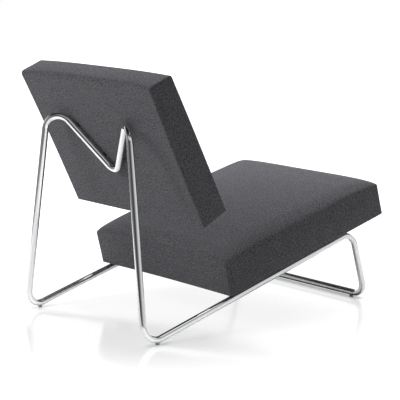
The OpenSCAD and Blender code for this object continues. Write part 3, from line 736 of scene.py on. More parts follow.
def thicken(piece: bpy.types.Object, wall_mm: float) -> None:
    """Gives a skin its thickness, inwards from its face."""
    modify(piece, "SOLIDIFY", thickness=wall_mm * MM, offset=-1.0, use_even_offset=True)


def hand_over(piece: bpy.types.Object, slot: Slot, stands_for: Sequence[str] = ()) -> bpy.types.Object:
    """Gives a new piece the finish of its slot and its body, and hides the solids it stands for.

    Args:
        piece: the finished piece.
        slot: its material slot.
        stands_for: nodes of the solid model that it replaces.

    Returns:
        The piece.
    """
    piece.data.materials.clear()
    piece.data.materials.append(FINISHES[slot].material())
    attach(piece, "root")
    if stands_for:
        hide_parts(*stands_for)
    count, solids = len(piece.data.vertices), ", ".join(stands_for) or "itself"
    LOG.info("%s: %d vertices, for %s", piece.name, count, solids)
    return piece


# Layout


@dataclass(frozen=True)
class Layout:
    """Sizes that the frame and the cushions share, in millimetres and degrees, as in the solid model.

    Side view: the rail rises from its rear corner at the pitch, the front leg leans back from it to the floor
    bar, and the long leg runs to the peak, from which the tube falls at the recline to the dip.
    """

    tube_d: float = 20.0
    bend_r: float = 46.0
    rail_inset: float = 25.0
    rail_len: float = 843.0
    pitch: float = 15.3
    front_lean: float = 16.9
    peak_x: float = 186.0
    peak_z: float = 646.0
    peak_set: float = 20.0
    recline: float = 26.8
    dip_depth: float = 237.5
    joint_at: float = 500.0
    glide_h: float = 4.0
    seat_at: float = 318.0
    saddle_t: float = 6.5
    seat_w: float = 612.0
    seat_d: float = 646.0
    seat_end_draw: float = 4.0
    seat_corner_r: float = 11.0

    @property
    def rail_x(self) -> float:
        """Distance of a rail from the middle."""
        return self.seat_w / 2 - self.rail_inset

    @property
    def rail(self) -> Array:
        """Direction of a rail, forwards and up."""
        return turned(np.array([0.0, -1.0, 0.0]), -self.pitch)

    def floor_bend(self, rear_z: float) -> tuple[Array, Array]:
        """Centre and axis of the bend between a rail and its long leg.

        The centre lies on the bisector, radius / sin(half the angle) from the corner.

        Args:
            rear_z: height of the rear corner, whose y is 0 here.

        Returns:
            The centre and the unit axis.
        """
        corner = np.array([self.rail_x, 0.0, rear_z])
        leg = unit(np.array([self.peak_x, -self.peak_set, self.peak_z]) - corner)
        half = math.acos(float(leg @ self.rail)) / 2
        return corner + unit(leg + self.rail) * self.bend_r / math.sin(half), unit(np.cross(leg, self.rail))

    def corners(self) -> dict[str, Array]:
        """Corners of the left half of the tube's centre line.

        The rear corner is raised until its bend's lowest point, radius sqrt(1 - axis_z^2) under the centre,
        stands on the glide. The middle of the depth, from the tube's rearmost point to the front edge of the
        seat, is at y = 0.

        Returns:
            Each corner by name.
        """
        stand, rear_z = self.glide_h + self.tube_d / 2, 0.0
        for _ in range(2):
            centre, axis = self.floor_bend(rear_z)
            rear_z += stand - centre[2] + self.bend_r * math.sqrt(1 - axis[2] ** 2)
        centre, axis = self.floor_bend(rear_z)
        rear_edge = centre[1] + self.tube_d / 2 + self.bend_r * math.sqrt(1 - axis[1] ** 2)
        draw = self.seat_end_draw * (1 - (1 - 2 * self.seat_corner_r / self.seat_w) ** 2)
        lift = (self.tube_d / 2 + self.saddle_t) * self.rail[2]
        front_edge = self.rail[1] * (self.seat_at + self.seat_d - draw) + lift
        rear = np.array([self.rail_x, -(front_edge + rear_edge) / 2, rear_z])
        front = rear + self.rail * self.rail_len
        lean = (front[2] - stand) * math.tan(math.radians(self.front_lean))
        peak = np.array([self.peak_x, rear[1] - self.peak_set, self.peak_z])
        c, s = cos_sin(self.recline)
        return {"joint": rear + self.rail * self.joint_at, "rear": rear, "front": front, "peak": peak,
                "toe": np.array([self.rail_x, front[1] - lean, stand]),
                "dip": np.array([0.0, peak[1] - s * self.dip_depth, peak[2] - c * self.dip_depth])}


LAYOUT = Layout()
CORNERS = LAYOUT.corners()


# Tube frame


@dataclass
class Drill:
    """A round hole: its start on the tube's axis, its direction and its diameter, in millimetres."""

    start: Array
    way: Array
    diameter: float
    sides: int = 32

    def bit(self, length: float) -> Array:
        """Closed cylinder of points in metres: a profile with two radii and two poles, turned about the way.

        Args:
            length: its length in millimetres.

        Returns:
            (4, sides + 1, 3) points.
        """
        side = unit(np.cross(self.way, [0.0, 1.0, 0.3]))
        other = np.cross(self.way, side)
        angle = np.linspace(0, 2 * math.pi, self.sides + 1)[:, None]
        ring = side * np.cos(angle) + other * np.sin(angle)
        profile = ((0.0, 0.0), (0.0, self.diameter / 2), (length, self.diameter / 2), (length, 0.0))
        return np.stack([self.start + self.way * h + ring * r for h, r in profile]) * MM


@dataclass
class BentTube:
    """A round tube carried along a path of straight stretches and round bends, all in millimetres."""

    name: str
    corners: Sequence[Array]
    radii: Sequence[float]
    diameter: float = LAYOUT.tube_d
    wall: float = 2.0
    sides: int = 64
    bend_steps: int = 30
    run_step: float = 24.0
    bend_gap: float = 0.001
    end_bevel: float = 0.35
    sharp_angle: float = 38.0

    def centre_line(self) -> tuple[Array, Array]:
        """Stations along the centre line and their directions.

        Each corner p between a and b becomes an arc of its radius r, which starts r / tan(half angle) from p;
        straight stretches are divided into even steps.

        Returns:
            (n, 3) stations and (n, 3) unit directions.
        """
        stations, ways, at = [], [], self.corners[0]
        for k in range(1, len(self.corners)):
            stop, last = self.corners[k], k == len(self.corners) - 1
            run = unit(stop - self.corners[k - 1])
            if not last:
                onward = unit(self.corners[k + 1] - stop)
                half = math.acos(float(-run @ onward)) / 2
                stop = stop - run * self.radii[k] / math.tan(half)
            steps = max(2, int(np.linalg.norm(stop - at) / self.run_step))
            stations.append(at + (stop - at) * np.linspace(0, 1, steps, endpoint=last)[:, None])
            ways.append(np.repeat(run[None], steps, 0))
            if not last:
                inward = unit(onward - run * (onward @ run))
                angle = np.linspace(0, math.pi - 2 * half, self.bend_steps)[:, None]
                stations.append(stop + (inward * (1 - np.cos(angle)) + run * np.sin(angle)) * self.radii[k])
                ways.append(run * np.cos(angle) + inward * np.sin(angle))
                at = stations[-1][-1] + ways[-1][-1] * self.bend_gap
        return np.concatenate(stations), np.concatenate(ways)

    def skin(self) -> tuple[Array, Array]:
        """The outer wall, the inner wall and both ends as one closed grid.

        A point is station + r (side cos t + other sin t), where side is carried along the path without twist:
        at each station the part of it along the direction is taken away. The ends have a small bevel.

        Returns:
            (rows, sides + 1, 3) points and (rows, sides + 1, 2) places on the unrolled wall, in metres.
        """
        line, way = self.centre_line()
        side = np.zeros_like(line)
        side[0] = unit(np.cross(way[0], UP))
        for k in range(1, len(line)):
            side[k] = unit(side[k - 1] - way[k] * (side[k - 1] @ way[k]))
        other = np.cross(way, side)
        bevelled, order, even = line.copy(), np.arange(len(line)), np.ones(len(line))
        bevelled[0] += way[0] * self.end_bevel
        bevelled[-1] -= way[-1] * self.end_bevel
        outer, inner = self.diameter / 2, self.diameter / 2 - self.wall
        rim = [outer - self.end_bevel]
        first, last = (line[:1], rim, order[:1]), (line[-1:], rim, order[-1:])
        rows = (first, (bevelled, outer * even, order), last, (line[-1:], [inner], order[-1:]),
                (line[::-1], inner * even, order[::-1]), first)
        line, radius, pick = (np.concatenate(part) for part in zip(*rows))
        angle = np.linspace(0, 2 * math.pi, self.sides + 1)
        ring = side[pick][:, None] * np.cos(angle)[:, None] + other[pick][:, None] * np.sin(angle)[:, None]
        points = (line[:, None] + ring * radius[:, None, None]) * MM
        return points, stacked((angle * outer * MM)[None], run_along(line * MM)[:, None])

    def build(self, drills: Sequence[Drill]) -> bpy.types.Object:
        """Makes the tube and drills it, smooth but for its ends and holes."""
        points, flat = self.skin()
        tube = grid_piece(self.name, [points], [flat])
        cutter = grid_piece(self.name + "_drill", [drill.bit(self.diameter) for drill in drills])
        modify(tube, "BOOLEAN", operation="DIFFERENCE", solver="EXACT", object=cutter)
        bpy.data.objects.remove(cutter)
        tube.data.set_sharp_from_angle(angle=math.radians(self.sharp_angle))
        return tube


@dataclass
class TubeFrame:
    """The two hoops of chromed tube, with the holes in the underside of their rails, in millimetres."""

    dip_r: float = 30.0
    bolt_at: Span = (70.0, 420.0)
    access_d: float = 11.5
    pin_from_joint: float = 27.0
    pin_d: float = 4.0

    def drills(self, bolt_at: float, pin_at: float) -> list[Drill]:
        """Access and pin holes of one hoop in the underside of both rails."""
        down = -turned(np.array(UP), -LAYOUT.pitch)
        holes = ((LAYOUT.seat_at + bolt_at, self.access_d), (LAYOUT.joint_at + pin_at, self.pin_d))
        return [Drill((CORNERS["rear"] + LAYOUT.rail * at) * [side, 1, 1], down, diameter)
                for side in (-1, 1) for at, diameter in holes]

    def hoop(self, name: str, *names: str, bolt_at: float, pin_at: float) -> None:
        """Makes a hoop in place of the solid one.

        Args:
            name: which hoop, rear or front.
            *names: corners of its left half from the joint on, and the dip where it has one.
            bolt_at: place of its bolts from the seat's rear edge.
            pin_at: place of its lock pins from the joint.
        """
        left = [CORNERS[corner] for corner in names]
        right = [corner * [-1, 1, 1] for corner in left[::-1] if corner[0] > 0]
        path = left + right
        radii = [LAYOUT.bend_r if corner[0] else self.dip_r for corner in path]
        tube = BentTube(f"{name}_tube", path, radii).build(self.drills(bolt_at, pin_at))
        hand_over(tube, Slot.CHROME, [f"{name}_hoop"])

    def build(self) -> None:
        """Makes both hoops."""
        rear_bolt, front_bolt = self.bolt_at
        self.hoop("rear", "joint", "rear", "peak", "dip", bolt_at=rear_bolt, pin_at=-self.pin_from_joint)
        self.hoop("front", "joint", "front", "toe", bolt_at=front_bolt, pin_at=self.pin_from_joint)


# Cushions


@dataclass
class Padding:
    """Fills a cushion: a pressure simulation on a closed copy, whose swell is passed to the sewn pieces."""

    voxel_mm: float
    pressure: float = 4.0
    frames: int = 20
    rounds: int = 40
    cap_mm: float = 2.6
    levels: int = 10

    def swollen(self, name: str, grids: Sequence[Array], held: Callable[[Array], Array]) -> bpy.types.Object:
        """Remeshes the closed form and lets Cloth with pressure swell it.

        Args:
            name: name of the scratch object.
            grids: the closed form as grids of points in metres.
            held: gives the share from 0 to 1 by which each point is held in place.

        Returns:
            The swollen scratch object, without modifiers.
        """
        body = grid_piece(name, grids)
        edit_mesh(body.data, lambda form: bmesh.ops.recalc_face_normals(form, faces=form.faces))
        modify(body, "REMESH", mode="VOXEL", voxel_size=self.voxel_mm * MM)
        group = body.vertex_groups.new(name="held")
        share = np.round(held(places_of(body)) * self.levels).astype(int)
        for level in range(1, self.levels + 1):
            group.add(np.flatnonzero(share == level).tolist(), level / self.levels, "REPLACE")
        cloth = body.modifiers.new("cloth", "CLOTH")
        s = cloth.settings
        s.quality, s.mass = 4, 0.3
        s.tension_stiffness = s.compression_stiffness = 14
        s.shear_stiffness, s.bending_stiffness = 6, 0.6
        s.use_pressure, s.uniform_pressure_force = True, self.pressure
        s.vertex_group_mass, s.pin_stiffness = "held", 1.0
        s.effector_weights.gravity = 0.0
        cloth.collision_settings.use_collision = False
        cloth.collision_settings.use_self_collision = False
        for number in range(1, self.frames + 1):
            bpy.context.scene.frame_set(number)
        apply_all(body)
        bpy.context.scene.frame_set(1)
        modify(body, "SMOOTH", factor=0.5, iterations=6)
        return body

    def pass_on(self, swollen: bpy.types.Object, piece: bpy.types.Object, share: Array) -> None:
        """Moves each point of a sewn piece outwards to the swollen form, by the cap at most.

        The move is share times cap (1 - exp(-d / cap)), where d is how far the nearest point of the swollen
        form lies along the normal, evened out over the piece.

        Args:
            swollen: the simulated form.
            piece: the sewn piece, before its skin is given thickness.
            share: for each point of the piece the share of the swell it takes.
        """
        before, normal = places_of(piece), normals_of(piece)
        wrap = piece.modifiers.new("swell", "SHRINKWRAP")
        wrap.target, wrap.wrap_method = swollen, "NEAREST_SURFACEPOINT"
        seen = piece.evaluated_get(bpy.context.evaluated_depsgraph_get())
        after = read(seen.to_mesh().vertices, "co")
        seen.to_mesh_clear()
        piece.modifiers.clear()
        far = evened(piece, np.clip(((after - before) * normal).sum(1), 0.0, None), self.rounds) / MM
        shift(piece, normal, share * self.cap_mm * (1.0 - np.exp(-far / self.cap_mm)))


@dataclass
class Cushion:
    """What the two cushions share: where they stand, how their seams sink and how thick their cloth is."""

    origin: Point
    turn: float
    offset: Point
    seam_depth: float
    seam_w: float
    slack: float
    skin: float = 1.0

    def stand(self, local: Array) -> Array:
        """Places in metres of points given in the cushion's own millimetres: offset, turned, then moved."""
        flat = local.reshape(-1, 3) + np.array(self.offset)
        return ((turned(flat, self.turn) + np.array(self.origin)) * MM).reshape(local.shape)

    def back_to_own(self, world: Array) -> Array:
        """The cushion's own millimetres of points in metres."""
        return turned(world / MM - np.array(self.origin), -self.turn) - np.array(self.offset)

    def sunk(self, near: Array) -> Array:
        """Depth of a seam's groove at a distance from the seam: seam_depth exp(-(near / seam_w)^2)."""
        return self.seam_depth * np.exp(-(near / self.seam_w) ** 2)


@dataclass
class SeatCushion(Cushion):
    """The seat: a boxed cushion with a soft roll along its top edges and a sewn seam down each corner.

    Its own millimetres start at the middle of the rear edge of its underside, and y falls towards the front.
    """

    origin: Point = (0.0, *CORNERS["rear"][1:])
    turn: float = -LAYOUT.pitch
    offset: Point = (0.0, -LAYOUT.seat_at, LAYOUT.tube_d / 2 + LAYOUT.saddle_t)
    seam_depth: float = 2.2
    seam_w: float = 3.0
    slack: float = 0.8
    width: float = LAYOUT.seat_w
    depth: float = LAYOUT.seat_d
    rear_h: float = 109.0
    front_h: float = 102.0
    roll_w: float = 53.0
    roll_h: float = 16.5
    crown: float = 18.5
    crown_power: float = 3.3
    draw: float = 2.5
    end_draw: float = LAYOUT.seat_end_draw
    swell: float = 4.5
    swell_power: int = 4
    corner_r: float = 6.5
    roll_r: float = 48.0
    corner_fall: float = 10.0
    fall_power: int = 6
    hem: float = 13.6
    foot_r: float = 3.0
    foot_fade: float = 12.0
    top_rings: int = 30
    roll_rings: int = 16
    side_rings: int = 22
    foot_rings: int = 5
    hem_rings: int = 4
    corner_columns: int = 8
    side_columns: int = 80
    base_steps: tuple[int, int] = (40, 42)
    voxel: float = 6.0
    hold_below: Span = (8.5, 42.5)
    free_above: Span = (6.0, 30.0)
    free_from_seam: float = 16.0
    no_seam: float = 99.0
    seam_end: float = 1.4
    cloth_t: float = 0.6
    cloth_rise: float = 0.3
    cloth_sag: float = 2.2
    cloth_free: Span = (262.0, 272.0)
    staple_pitch: float = 38.0
    staple_inset: float = 7.5
    staple_corner_gap: float = 14.0
    staple_overrun: float = 2.0
    saddle_gap: float = 27.0

    def heights(self, x: Array, y: Array) -> tuple[Array, Array]:
        """Height of the side seams' level and of the crown over the plan point (x, y) about the centre.

        The level runs from the rear height to the front height and falls by (u v)^fall_power at the corners;
        the crown is crown (1 - u^p)(1 - v^p), where u and v are the shares of the half width and the half
        depth and p is crown_power.

        Returns:
            The level and the crown in millimetres.
        """
        u, v = np.clip(np.abs(x) * 2 / self.width, 0, 1), np.clip(np.abs(y) * 2 / self.depth, 0, 1)
        level = self.rear_h + (self.front_h - self.rear_h) * (0.5 - y / self.depth)
        crown = self.crown * (1 - u ** self.crown_power) * (1 - v ** self.crown_power)
        return level - self.corner_fall * (u * v) ** self.fall_power, crown

    def rings(self) -> dict[str, Array]:
        """Every ring of the cover from the middle of the top to the hem: top, roll, side, foot and hem.

        Returns:
            One value a ring: the top's scale, the inset from the edge, the corner's radius, the roll's rise,
            the share of the side's height, the side's swell, the foot's rise and the run's number, where the
            side and the foot count as one.
        """
        top, side = np.linspace(0, 1, self.top_rings)[:-1], np.linspace(1, 0, self.side_rings)[1:]
        roll = np.radians(np.linspace(90, 0, self.roll_rings))
        foot = np.radians(np.linspace(0, 90, self.foot_rings))[1:]
        hem = np.linspace(self.foot_r, self.hem, self.hem_rings)[1:]
        corner = self.corner_r
        fading = 1 - np.clip(side * self.foot_fade, 0, 1)
        runs = (top, roll, side, foot, hem)

        def joined(*values: Union[Array, float]) -> Array:
            """One array from a value, or an array of values, for each run."""
            return np.concatenate([np.zeros(len(run)) + value for run, value in zip(runs, values)])

        return {
            "scale": joined(top, 1, 1, 1, 1),
            "inset": joined(0, self.roll_w * (1 - np.cos(roll)), 0, self.foot_r * (1 - np.cos(foot)), hem),
            "radius": joined(0, corner + (self.roll_r - corner) * (1 - np.cos(roll)), corner, corner, corner),
            "rise": joined(self.roll_h, self.roll_h * np.sin(roll), 0, 0, 0),
            "side": joined(1, 1, side, 0, 0),
            "swell": joined(0, 0, self.swell * 4 * side * (1 - side), 0, 0),
            "foot": joined(0, 0, self.foot_r * fading, self.foot_r * (1 - np.sin(foot)), 0),
            "run": joined(0, 1, 2, 2, 3)}

    def sector(self, turns: int) -> tuple[Array, Array, Array]:
        """One of the four sides of the cover, from the middle of the top to the hem.

        A ring is a rounded rectangle; its sector runs from the middle of one corner arc along the straight to
        the middle of the next, with columns at fixed angles on the arcs and evenly spaced ones between. Each
        side draws in by draw u (1 - v^2) and swells by swell u (1 - v^swell_power), and the ends likewise.

        Args:
            turns: quarter turns from the front side.

        Returns:
            Points in the cushion's millimetres, places on the flat cloth in metres, and each point's distance
            from the corner seam in millimetres, large where there is no seam.
        """
        r = {key: ring[:, None] for key, ring in self.rings().items()}
        top, n, m = r["run"] == 0, self.corner_columns, self.side_columns
        hx, hy = (self.width / 2, self.depth / 2)[::-1 if turns % 2 else 1]
        arc = np.radians(np.linspace(225, 270, n))
        theta = np.concatenate([arc, np.full(m - 2, math.radians(270)), np.radians(540) - arc[::-1]])
        share = np.concatenate([np.full(n, -1.0), np.linspace(-1, 1, m)[1:-1], np.full(n, 1.0)])
        rx, ry = (np.where(top, (h - self.roll_w) * r["scale"], h - r["inset"]) for h in (hx, hy))
        cr = np.where(top, self.roll_r * r["scale"], r["radius"])
        along, out = share * (rx - cr) + cr * np.cos(theta), cr * np.sin(theta) - (ry - cr)
        x, y = along, out
        for _ in range(turns):
            x, y = -y, x
        level, crown = self.heights(x, y)
        z = r["side"] * level + crown * (r["run"] < 2) + r["rise"] + r["foot"]
        u, v = x * 2 / self.width, y * 2 / self.depth
        axes = (x, u, v, self.draw), (y, v, u, self.end_draw)
        px, py = (place + share * (r["swell"] * np.clip(1 - other ** self.swell_power, 0, None)
                                   - draw * np.clip(1 - other ** 2, 0, None))
                  for place, share, other, draw in axes)
        points = np.stack([px, py - self.depth / 2, np.where(r["run"] == 3, 0.0, z)], -1)
        run, last = run_along(points), int(np.flatnonzero(top)[-1])
        flat = stacked(along, np.where(top, out, out[last] - np.clip(run - run[last], 0, None)))
        for _ in range(turns):
            flat = np.stack([-flat[..., 1], flat[..., 0]], -1)
        way = run_along(points.swapaxes(0, 1)).T
        near = np.minimum(way, way[:, -1:] - way)
        near = near + np.where(top, self.no_seam, np.where(r["run"] == 1, r["rise"] * self.seam_end, 0.0))
        return points, flat * MM, near

    def base_grid(self, rise: float, reach: float) -> Array:
        """Flat grid over the underside, in the cushion's millimetres, reaching this far in from the edges."""
        columns, rows = self.base_steps
        x = np.linspace(-1, 1, columns)[None] * (self.width / 2 - reach)
        y = np.linspace(-1, 1, rows)[:, None] * (self.depth / 2 - reach)
        return stacked(x, y - self.depth / 2, rise)

    def cover(self) -> bpy.types.Object:
        """Sews the cover from its four sides, swells it, sinks its seams and gives it its thickness."""
        points, flats, nears = zip(*(self.sector(turns) for turns in range(4)))
        points = [self.stand(part) for part in points]
        piece = grid_piece("seat_upholstery", points, flats, nears)
        near, free = seam_of(piece), ramp(self.back_to_own(places_of(piece))[:, 2], *self.free_above)
        shift(piece, -normals_of(piece), self.slack * free)
        padding = Padding(self.voxel)
        bottom = self.stand(self.base_grid(0.0, self.hem))
        body = padding.swollen("seat_filling", [*points, bottom], self.held)
        padding.pass_on(body, piece, free * ramp(near, 0.0, self.free_from_seam))
        bpy.data.objects.remove(body)
        shift(piece, -normals_of(piece), self.sunk(near))
        thicken(piece, self.skin)
        return piece

    def held(self, world: Array) -> Array:
        """Share by which each point is held: fully at the foot, and not at all from the upper height on."""
        low, high = self.hold_below
        return 1 - ramp(self.back_to_own(world)[:, 2], low, high - low)

    def base_cloth(self) -> bpy.types.Object:
        """The black cloth under the seat: a flat sheet that sags a little between the timber rails.

        The sag is cloth_sag (1 - u^2)(1 - v^2), where u and v run over the open middle.
        """
        grid = self.base_grid(self.cloth_rise, self.hem + self.cloth_rise)
        u = np.clip(grid[..., 0] / self.cloth_free[0], -1, 1)
        v = np.clip((grid[..., 1] + self.depth / 2) / self.cloth_free[1], -1, 1)
        grid[..., 2] -= self.cloth_sag * (1 - u * u) * (1 - v * v)
        cloth = grid_piece("underside_cloth", [self.stand(grid)], [grid[..., :2] * MM])
        face_towards(cloth, -turned(np.array(UP), self.turn))
        thicken(cloth, self.cloth_t)
        return cloth

    def staples(self) -> bpy.types.Object:
        """Staples round the base cloth, but not over the saddles.

        Each is a flat bar with turned-in ends: a section carried over six stations, repeated at the pitch.
        """
        x, y = (size / 2 - self.hem - self.staple_inset for size in (self.width, self.depth))
        gap, over = self.staple_corner_gap, self.staple_overrun
        xs, ys = (np.arange(gap - reach, reach - gap + over, self.staple_pitch) for reach in (x, y))
        spots = [(s, side * y, False) for side in (-1, 1) for s in xs]
        spots += [(side * x, s, True) for side in (-1, 1) for s in ys
                  if min(abs(s - self.depth / 2 + at) for at in TubeFrame.bolt_at) > self.saddle_gap]
        along = np.array([-5.0, -5.0, -4.7, 4.7, 5.0, 5.0])[:, None]
        rise = np.array([0.9, -0.15, -0.42, -0.42, -0.15, 0.9])[:, None]
        section = np.array([(-0.5, -0.16), (0.5, -0.16), (0.5, 0.16), (-0.5, 0.16), (-0.5, -0.16)])
        bar = stacked(along, section[:, 0], rise + section[:, 1])
        crosswise = bar[..., [1, 0, 2]] * [-1, 1, 1]
        return grid_piece("base_staples", [
            self.stand((crosswise if across else bar) + np.array([px, py - self.depth / 2, 0.0]))
            for px, py, across in spots])

    def build(self) -> None:
        """Makes the cover, the base cloth and its staples."""
        cover = hand_over(self.cover(), Slot.WOOL, ["seat_cover"])
        cloth = hand_over(self.base_cloth(), Slot.BASE_CLOTH, ["seat_dust_cover"])
        hand_over(self.staples(), Slot.ZINC)


@dataclass
class BackCushion(Cushion):
    """The back: one wrap of cloth round rear, head, front and foot, and a sewn-in panel on each side.

    Its own millimetres start at the middle of the rear edge of its foot, and y falls towards the front.
    """

    origin: Point = (0.0, *CORNERS["dip"][1:])
    turn: float = -LAYOUT.recline
    offset: Point = (0.0, -13.0, -146.0)
    seam_depth: float = 1.3
    seam_w: float = 2.2
    slack: float = 0.5
    head_w: float = 602.0
    foot_w: float = 590.0
    waist: float = 4.0
    height: float = 455.0
    head_t: float = 85.0
    foot_t: float = 92.0
    fall: float = 7.5
    crown: float = 6.5
    swell: float = 8.0
    swell_power: float = 0.7
    end_power: int = 3
    bow: float = 4.0
    rise_w: float = 30.0
    radii: tuple[float, float, float, float] = (4.5, 12.0, 9.5, 4.5)
    arc_points: int = 9
    stretch_points: tuple[int, int, int, int] = (74, 22, 74, 22)
    middle_columns: int = 66
    edge_w: float = 36.0
    panel_swell: float = 2.2
    panel_powers: tuple[int, int] = (4, 12)
    voxel: float = 5.0
    edge_held: float = 0.7
    edge_fade: Span = (5.4, 14.0)
    board_held: float = 0.8
    board_fade: float = 10.0
    free_from_seam: float = 12.0
    rear_share: float = 0.45
    rear_t: float = 3.0
    front_from: float = 14.0
    core_x: float = 250.0
    core_t: float = 44.0
    core_z: Span = (45.0, 405.0)

    def outline(self) -> list[Array]:
        """The side outline as four stretches of (depth, height) points: rear, head, front and foot.

        Each corner is an arc of its radius and each stretch runs from the middle of one arc to the middle of
        the next, so that opposite stretches have the same number of points. A point of an arc about its
        centre is (start sin((1 - s) w) + stop sin(s w)) / sin w, where w is its sweep and s runs from 0 to 1.
        """
        head_front = (self.head_t, self.height - self.fall)
        corners = np.array([(0.0, 0.0), (0.0, self.height), head_front, (self.foot_t, 0.0)])
        share = np.linspace(0, 1, self.arc_points)[:, None]
        arcs = []
        for k, r in enumerate(self.radii):
            back, on = unit(corners[k - 1] - corners[k]), unit(corners[(k + 1) % 4] - corners[k])
            half = math.acos(float(back @ on)) / 2
            centre = unit(back + on) * r / math.sin(half)
            start, stop = (way * r / math.tan(half) - centre for way in (back, on))
            sweep = math.pi - 2 * half
            arc = (start * np.sin((1 - share) * sweep) + stop * np.sin(share * sweep)) / math.sin(sweep)
            arcs.append(corners[k] + centre + arc)
        middle, stretches = self.arc_points // 2, []
        for k, count in enumerate(self.stretch_points):
            first, last = arcs[k][middle:], arcs[(k + 1) % 4][:middle + 1]
            between = first[-1] + (last[0] - first[-1]) * np.linspace(0, 1, count)[1:-1, None]
            stretches.append(np.concatenate([first, between, last]))
        return stretches

    def form(self, share: Array, depth: Array, z: Array) -> Array:
        """Point of the cushion's skin over a point of its side outline.

        x is share times the half width, which grows from foot to head and draws in by the waist at
        mid-height. The front swells by swell (1 - |share|^end_power) sin(height)^swell_power plus the bow,
        and the head rises by crown (1 - |share|^end_power).

        Args:
            share: share of the half width, -1 to 1.
            depth: depth of the outline's point from the rear face.
            z: its height.

        Returns:
            Points in the cushion's millimetres.
        """
        level = np.clip(z / self.height, 0, 1)
        arch = 1 - (2 * level - 1) ** 2
        half_w = (self.foot_w + (self.head_w - self.foot_w) * level) / 2 - self.waist * arch
        middle = 1 - np.abs(share) ** self.end_power
        bulge = self.swell * middle * np.sin(math.pi * level) ** self.swell_power + self.bow * arch
        lift = self.crown * middle * ramp(z, self.height - self.rise_w, self.rise_w)
        return stacked(share * half_w, -depth - ramp(depth, 0.0, self.head_t) * bulge, z + lift)

    def widths(self) -> Array:
        """Shares of the half width for the columns of the wrap: close together at the side seams."""
        edge = np.array([0, 0.7, 1.4, 2.2, 3.2, 4.6, 6.6, 9.6, 14.0, 20.0, 28.0])
        half = self.head_w / 2
        middle = np.linspace(self.edge_w - half, half - self.edge_w, self.middle_columns)
        return np.concatenate([-half + edge, middle, half - edge[::-1]]) / half

    def wrap_grid(self) -> tuple[Array, Array, Array]:
        """The wrap as one grid, its places on the flat cloth and its distances from the side seams."""
        rear, head, front, foot = self.outline()
        middle = len(foot) // 2
        line = np.concatenate([foot[middle:], rear[1:], head[1:], front[1:], foot[1:middle + 1]])
        share, half = self.widths(), self.head_w / 2
        points = self.form(share, line[:, None, 0], line[:, None, 1])
        flat = stacked(share * half, run_along(line)[:, None]) * MM
        return points, flat, np.broadcast_to((1 - np.abs(share)) * half, points.shape[:2])

    def panel_grid(self, side: int) -> tuple[Array, Array, Array]:
        """A side panel: a patch between the four stretches of the outline, blended from opposite edges.

        The patch point at (u, v) is (1-u) rear(v) + u front(v) + (1-v) foot(u) + v head(u) less the bilinear
        blend of the four corners. It swells outwards by panel_swell (1 - |2u-1|^p)(1 - |2v-1|^q), with
        panel_powers p and q.

        Args:
            side: 1 for the sitter's left, -1 for the right.

        Returns:
            Points in the cushion's millimetres, places on the flat cloth in metres, distance from the seams.
        """
        rear, head, front, foot = self.outline()
        front, foot = front[::-1], foot[::-1]
        v, u = np.linspace(0, 1, len(rear))[:, None, None], np.linspace(0, 1, len(head))[:, None]
        patch = ((1 - u) * rear[:, None] + u * front[:, None] + (1 - v) * foot + v * head
                 - (1 - v) * ((1 - u) * rear[0] + u * front[0]) - v * ((1 - u) * rear[-1] + u * front[-1]))
        points = self.form(np.full(patch.shape[:2], float(side)), patch[..., 0], patch[..., 1])
        u, v = u[:, 0], v[..., 0]
        (p, q), edge_u, edge_v = self.panel_powers, np.abs(2 * u - 1), np.abs(2 * v - 1)
        points[..., 0] += side * self.panel_swell * (1 - edge_u ** p) * (1 - edge_v ** q)
        near = np.minimum(np.minimum(u, 1 - u) * self.foot_t, np.minimum(v, 1 - v) * self.height)
        return points, patch * MM, near

    def cover(self) -> list[bpy.types.Object]:
        """Sews the wrap and both panels, swells them together, sinks the seams and gives them thickness."""
        parts = {"back_wrap": self.wrap_grid(), "back_panel_left": self.panel_grid(1),
                 "back_panel_right": self.panel_grid(-1)}
        padding, body, made = Padding(self.voxel), None, []
        grids = [self.stand(points) for points, _, _ in parts.values()]
        body = padding.swollen("back_filling", grids, self.held)
        for name, (points, flat, near) in parts.items():
            piece = grid_piece(name, [self.stand(points)], [flat], [near])
            own, gap = self.back_to_own(places_of(piece)), seam_of(piece)
            free = ramp(gap, 0.0, self.free_from_seam)
            shift(piece, -normals_of(piece), self.slack * free)
            if body is not None:
                front = ramp(-own[:, 1], self.rear_t, self.front_from)
                padding.pass_on(body, piece, free * (self.rear_share + (1 - self.rear_share) * front))
            shift(piece, self.inwards(own), self.sunk(gap))
            made.append(piece)
        if body is not None:
            bpy.data.objects.remove(body)
        for piece in made:
            thicken(piece, self.skin)
        return made

    def inwards(self, own: Array) -> Array:
        """Unit directions from the skin towards the core plane, the same for wrap and panel at a seam."""
        x, z = np.clip(own[:, 0], -self.core_x, self.core_x), np.clip(own[:, 2], *self.core_z)
        core = stacked(x, -self.core_t, z)
        return turned(unit(core - own), self.turn)

    def held(self, world: Array) -> Array:
        """Share by which each point is held: most on the board behind and along the side seams."""
        own = self.back_to_own(world)
        edge = 1 - ramp(self.head_w / 2 - np.abs(own[:, 0]), *self.edge_fade)
        board = 1 - ramp(-own[:, 1], self.rear_t, self.board_fade)
        return np.clip(edge * self.edge_held + board * self.board_held, 0, 1)

    def build(self) -> None:
        """Makes the wrap and the side panels."""
        for piece, node in zip(self.cover(), ("back_cover", "back_gusset_left", "back_gusset_right")):
            hand_over(piece, Slot.WOOL, [node])


# Parts that keep their solid shape


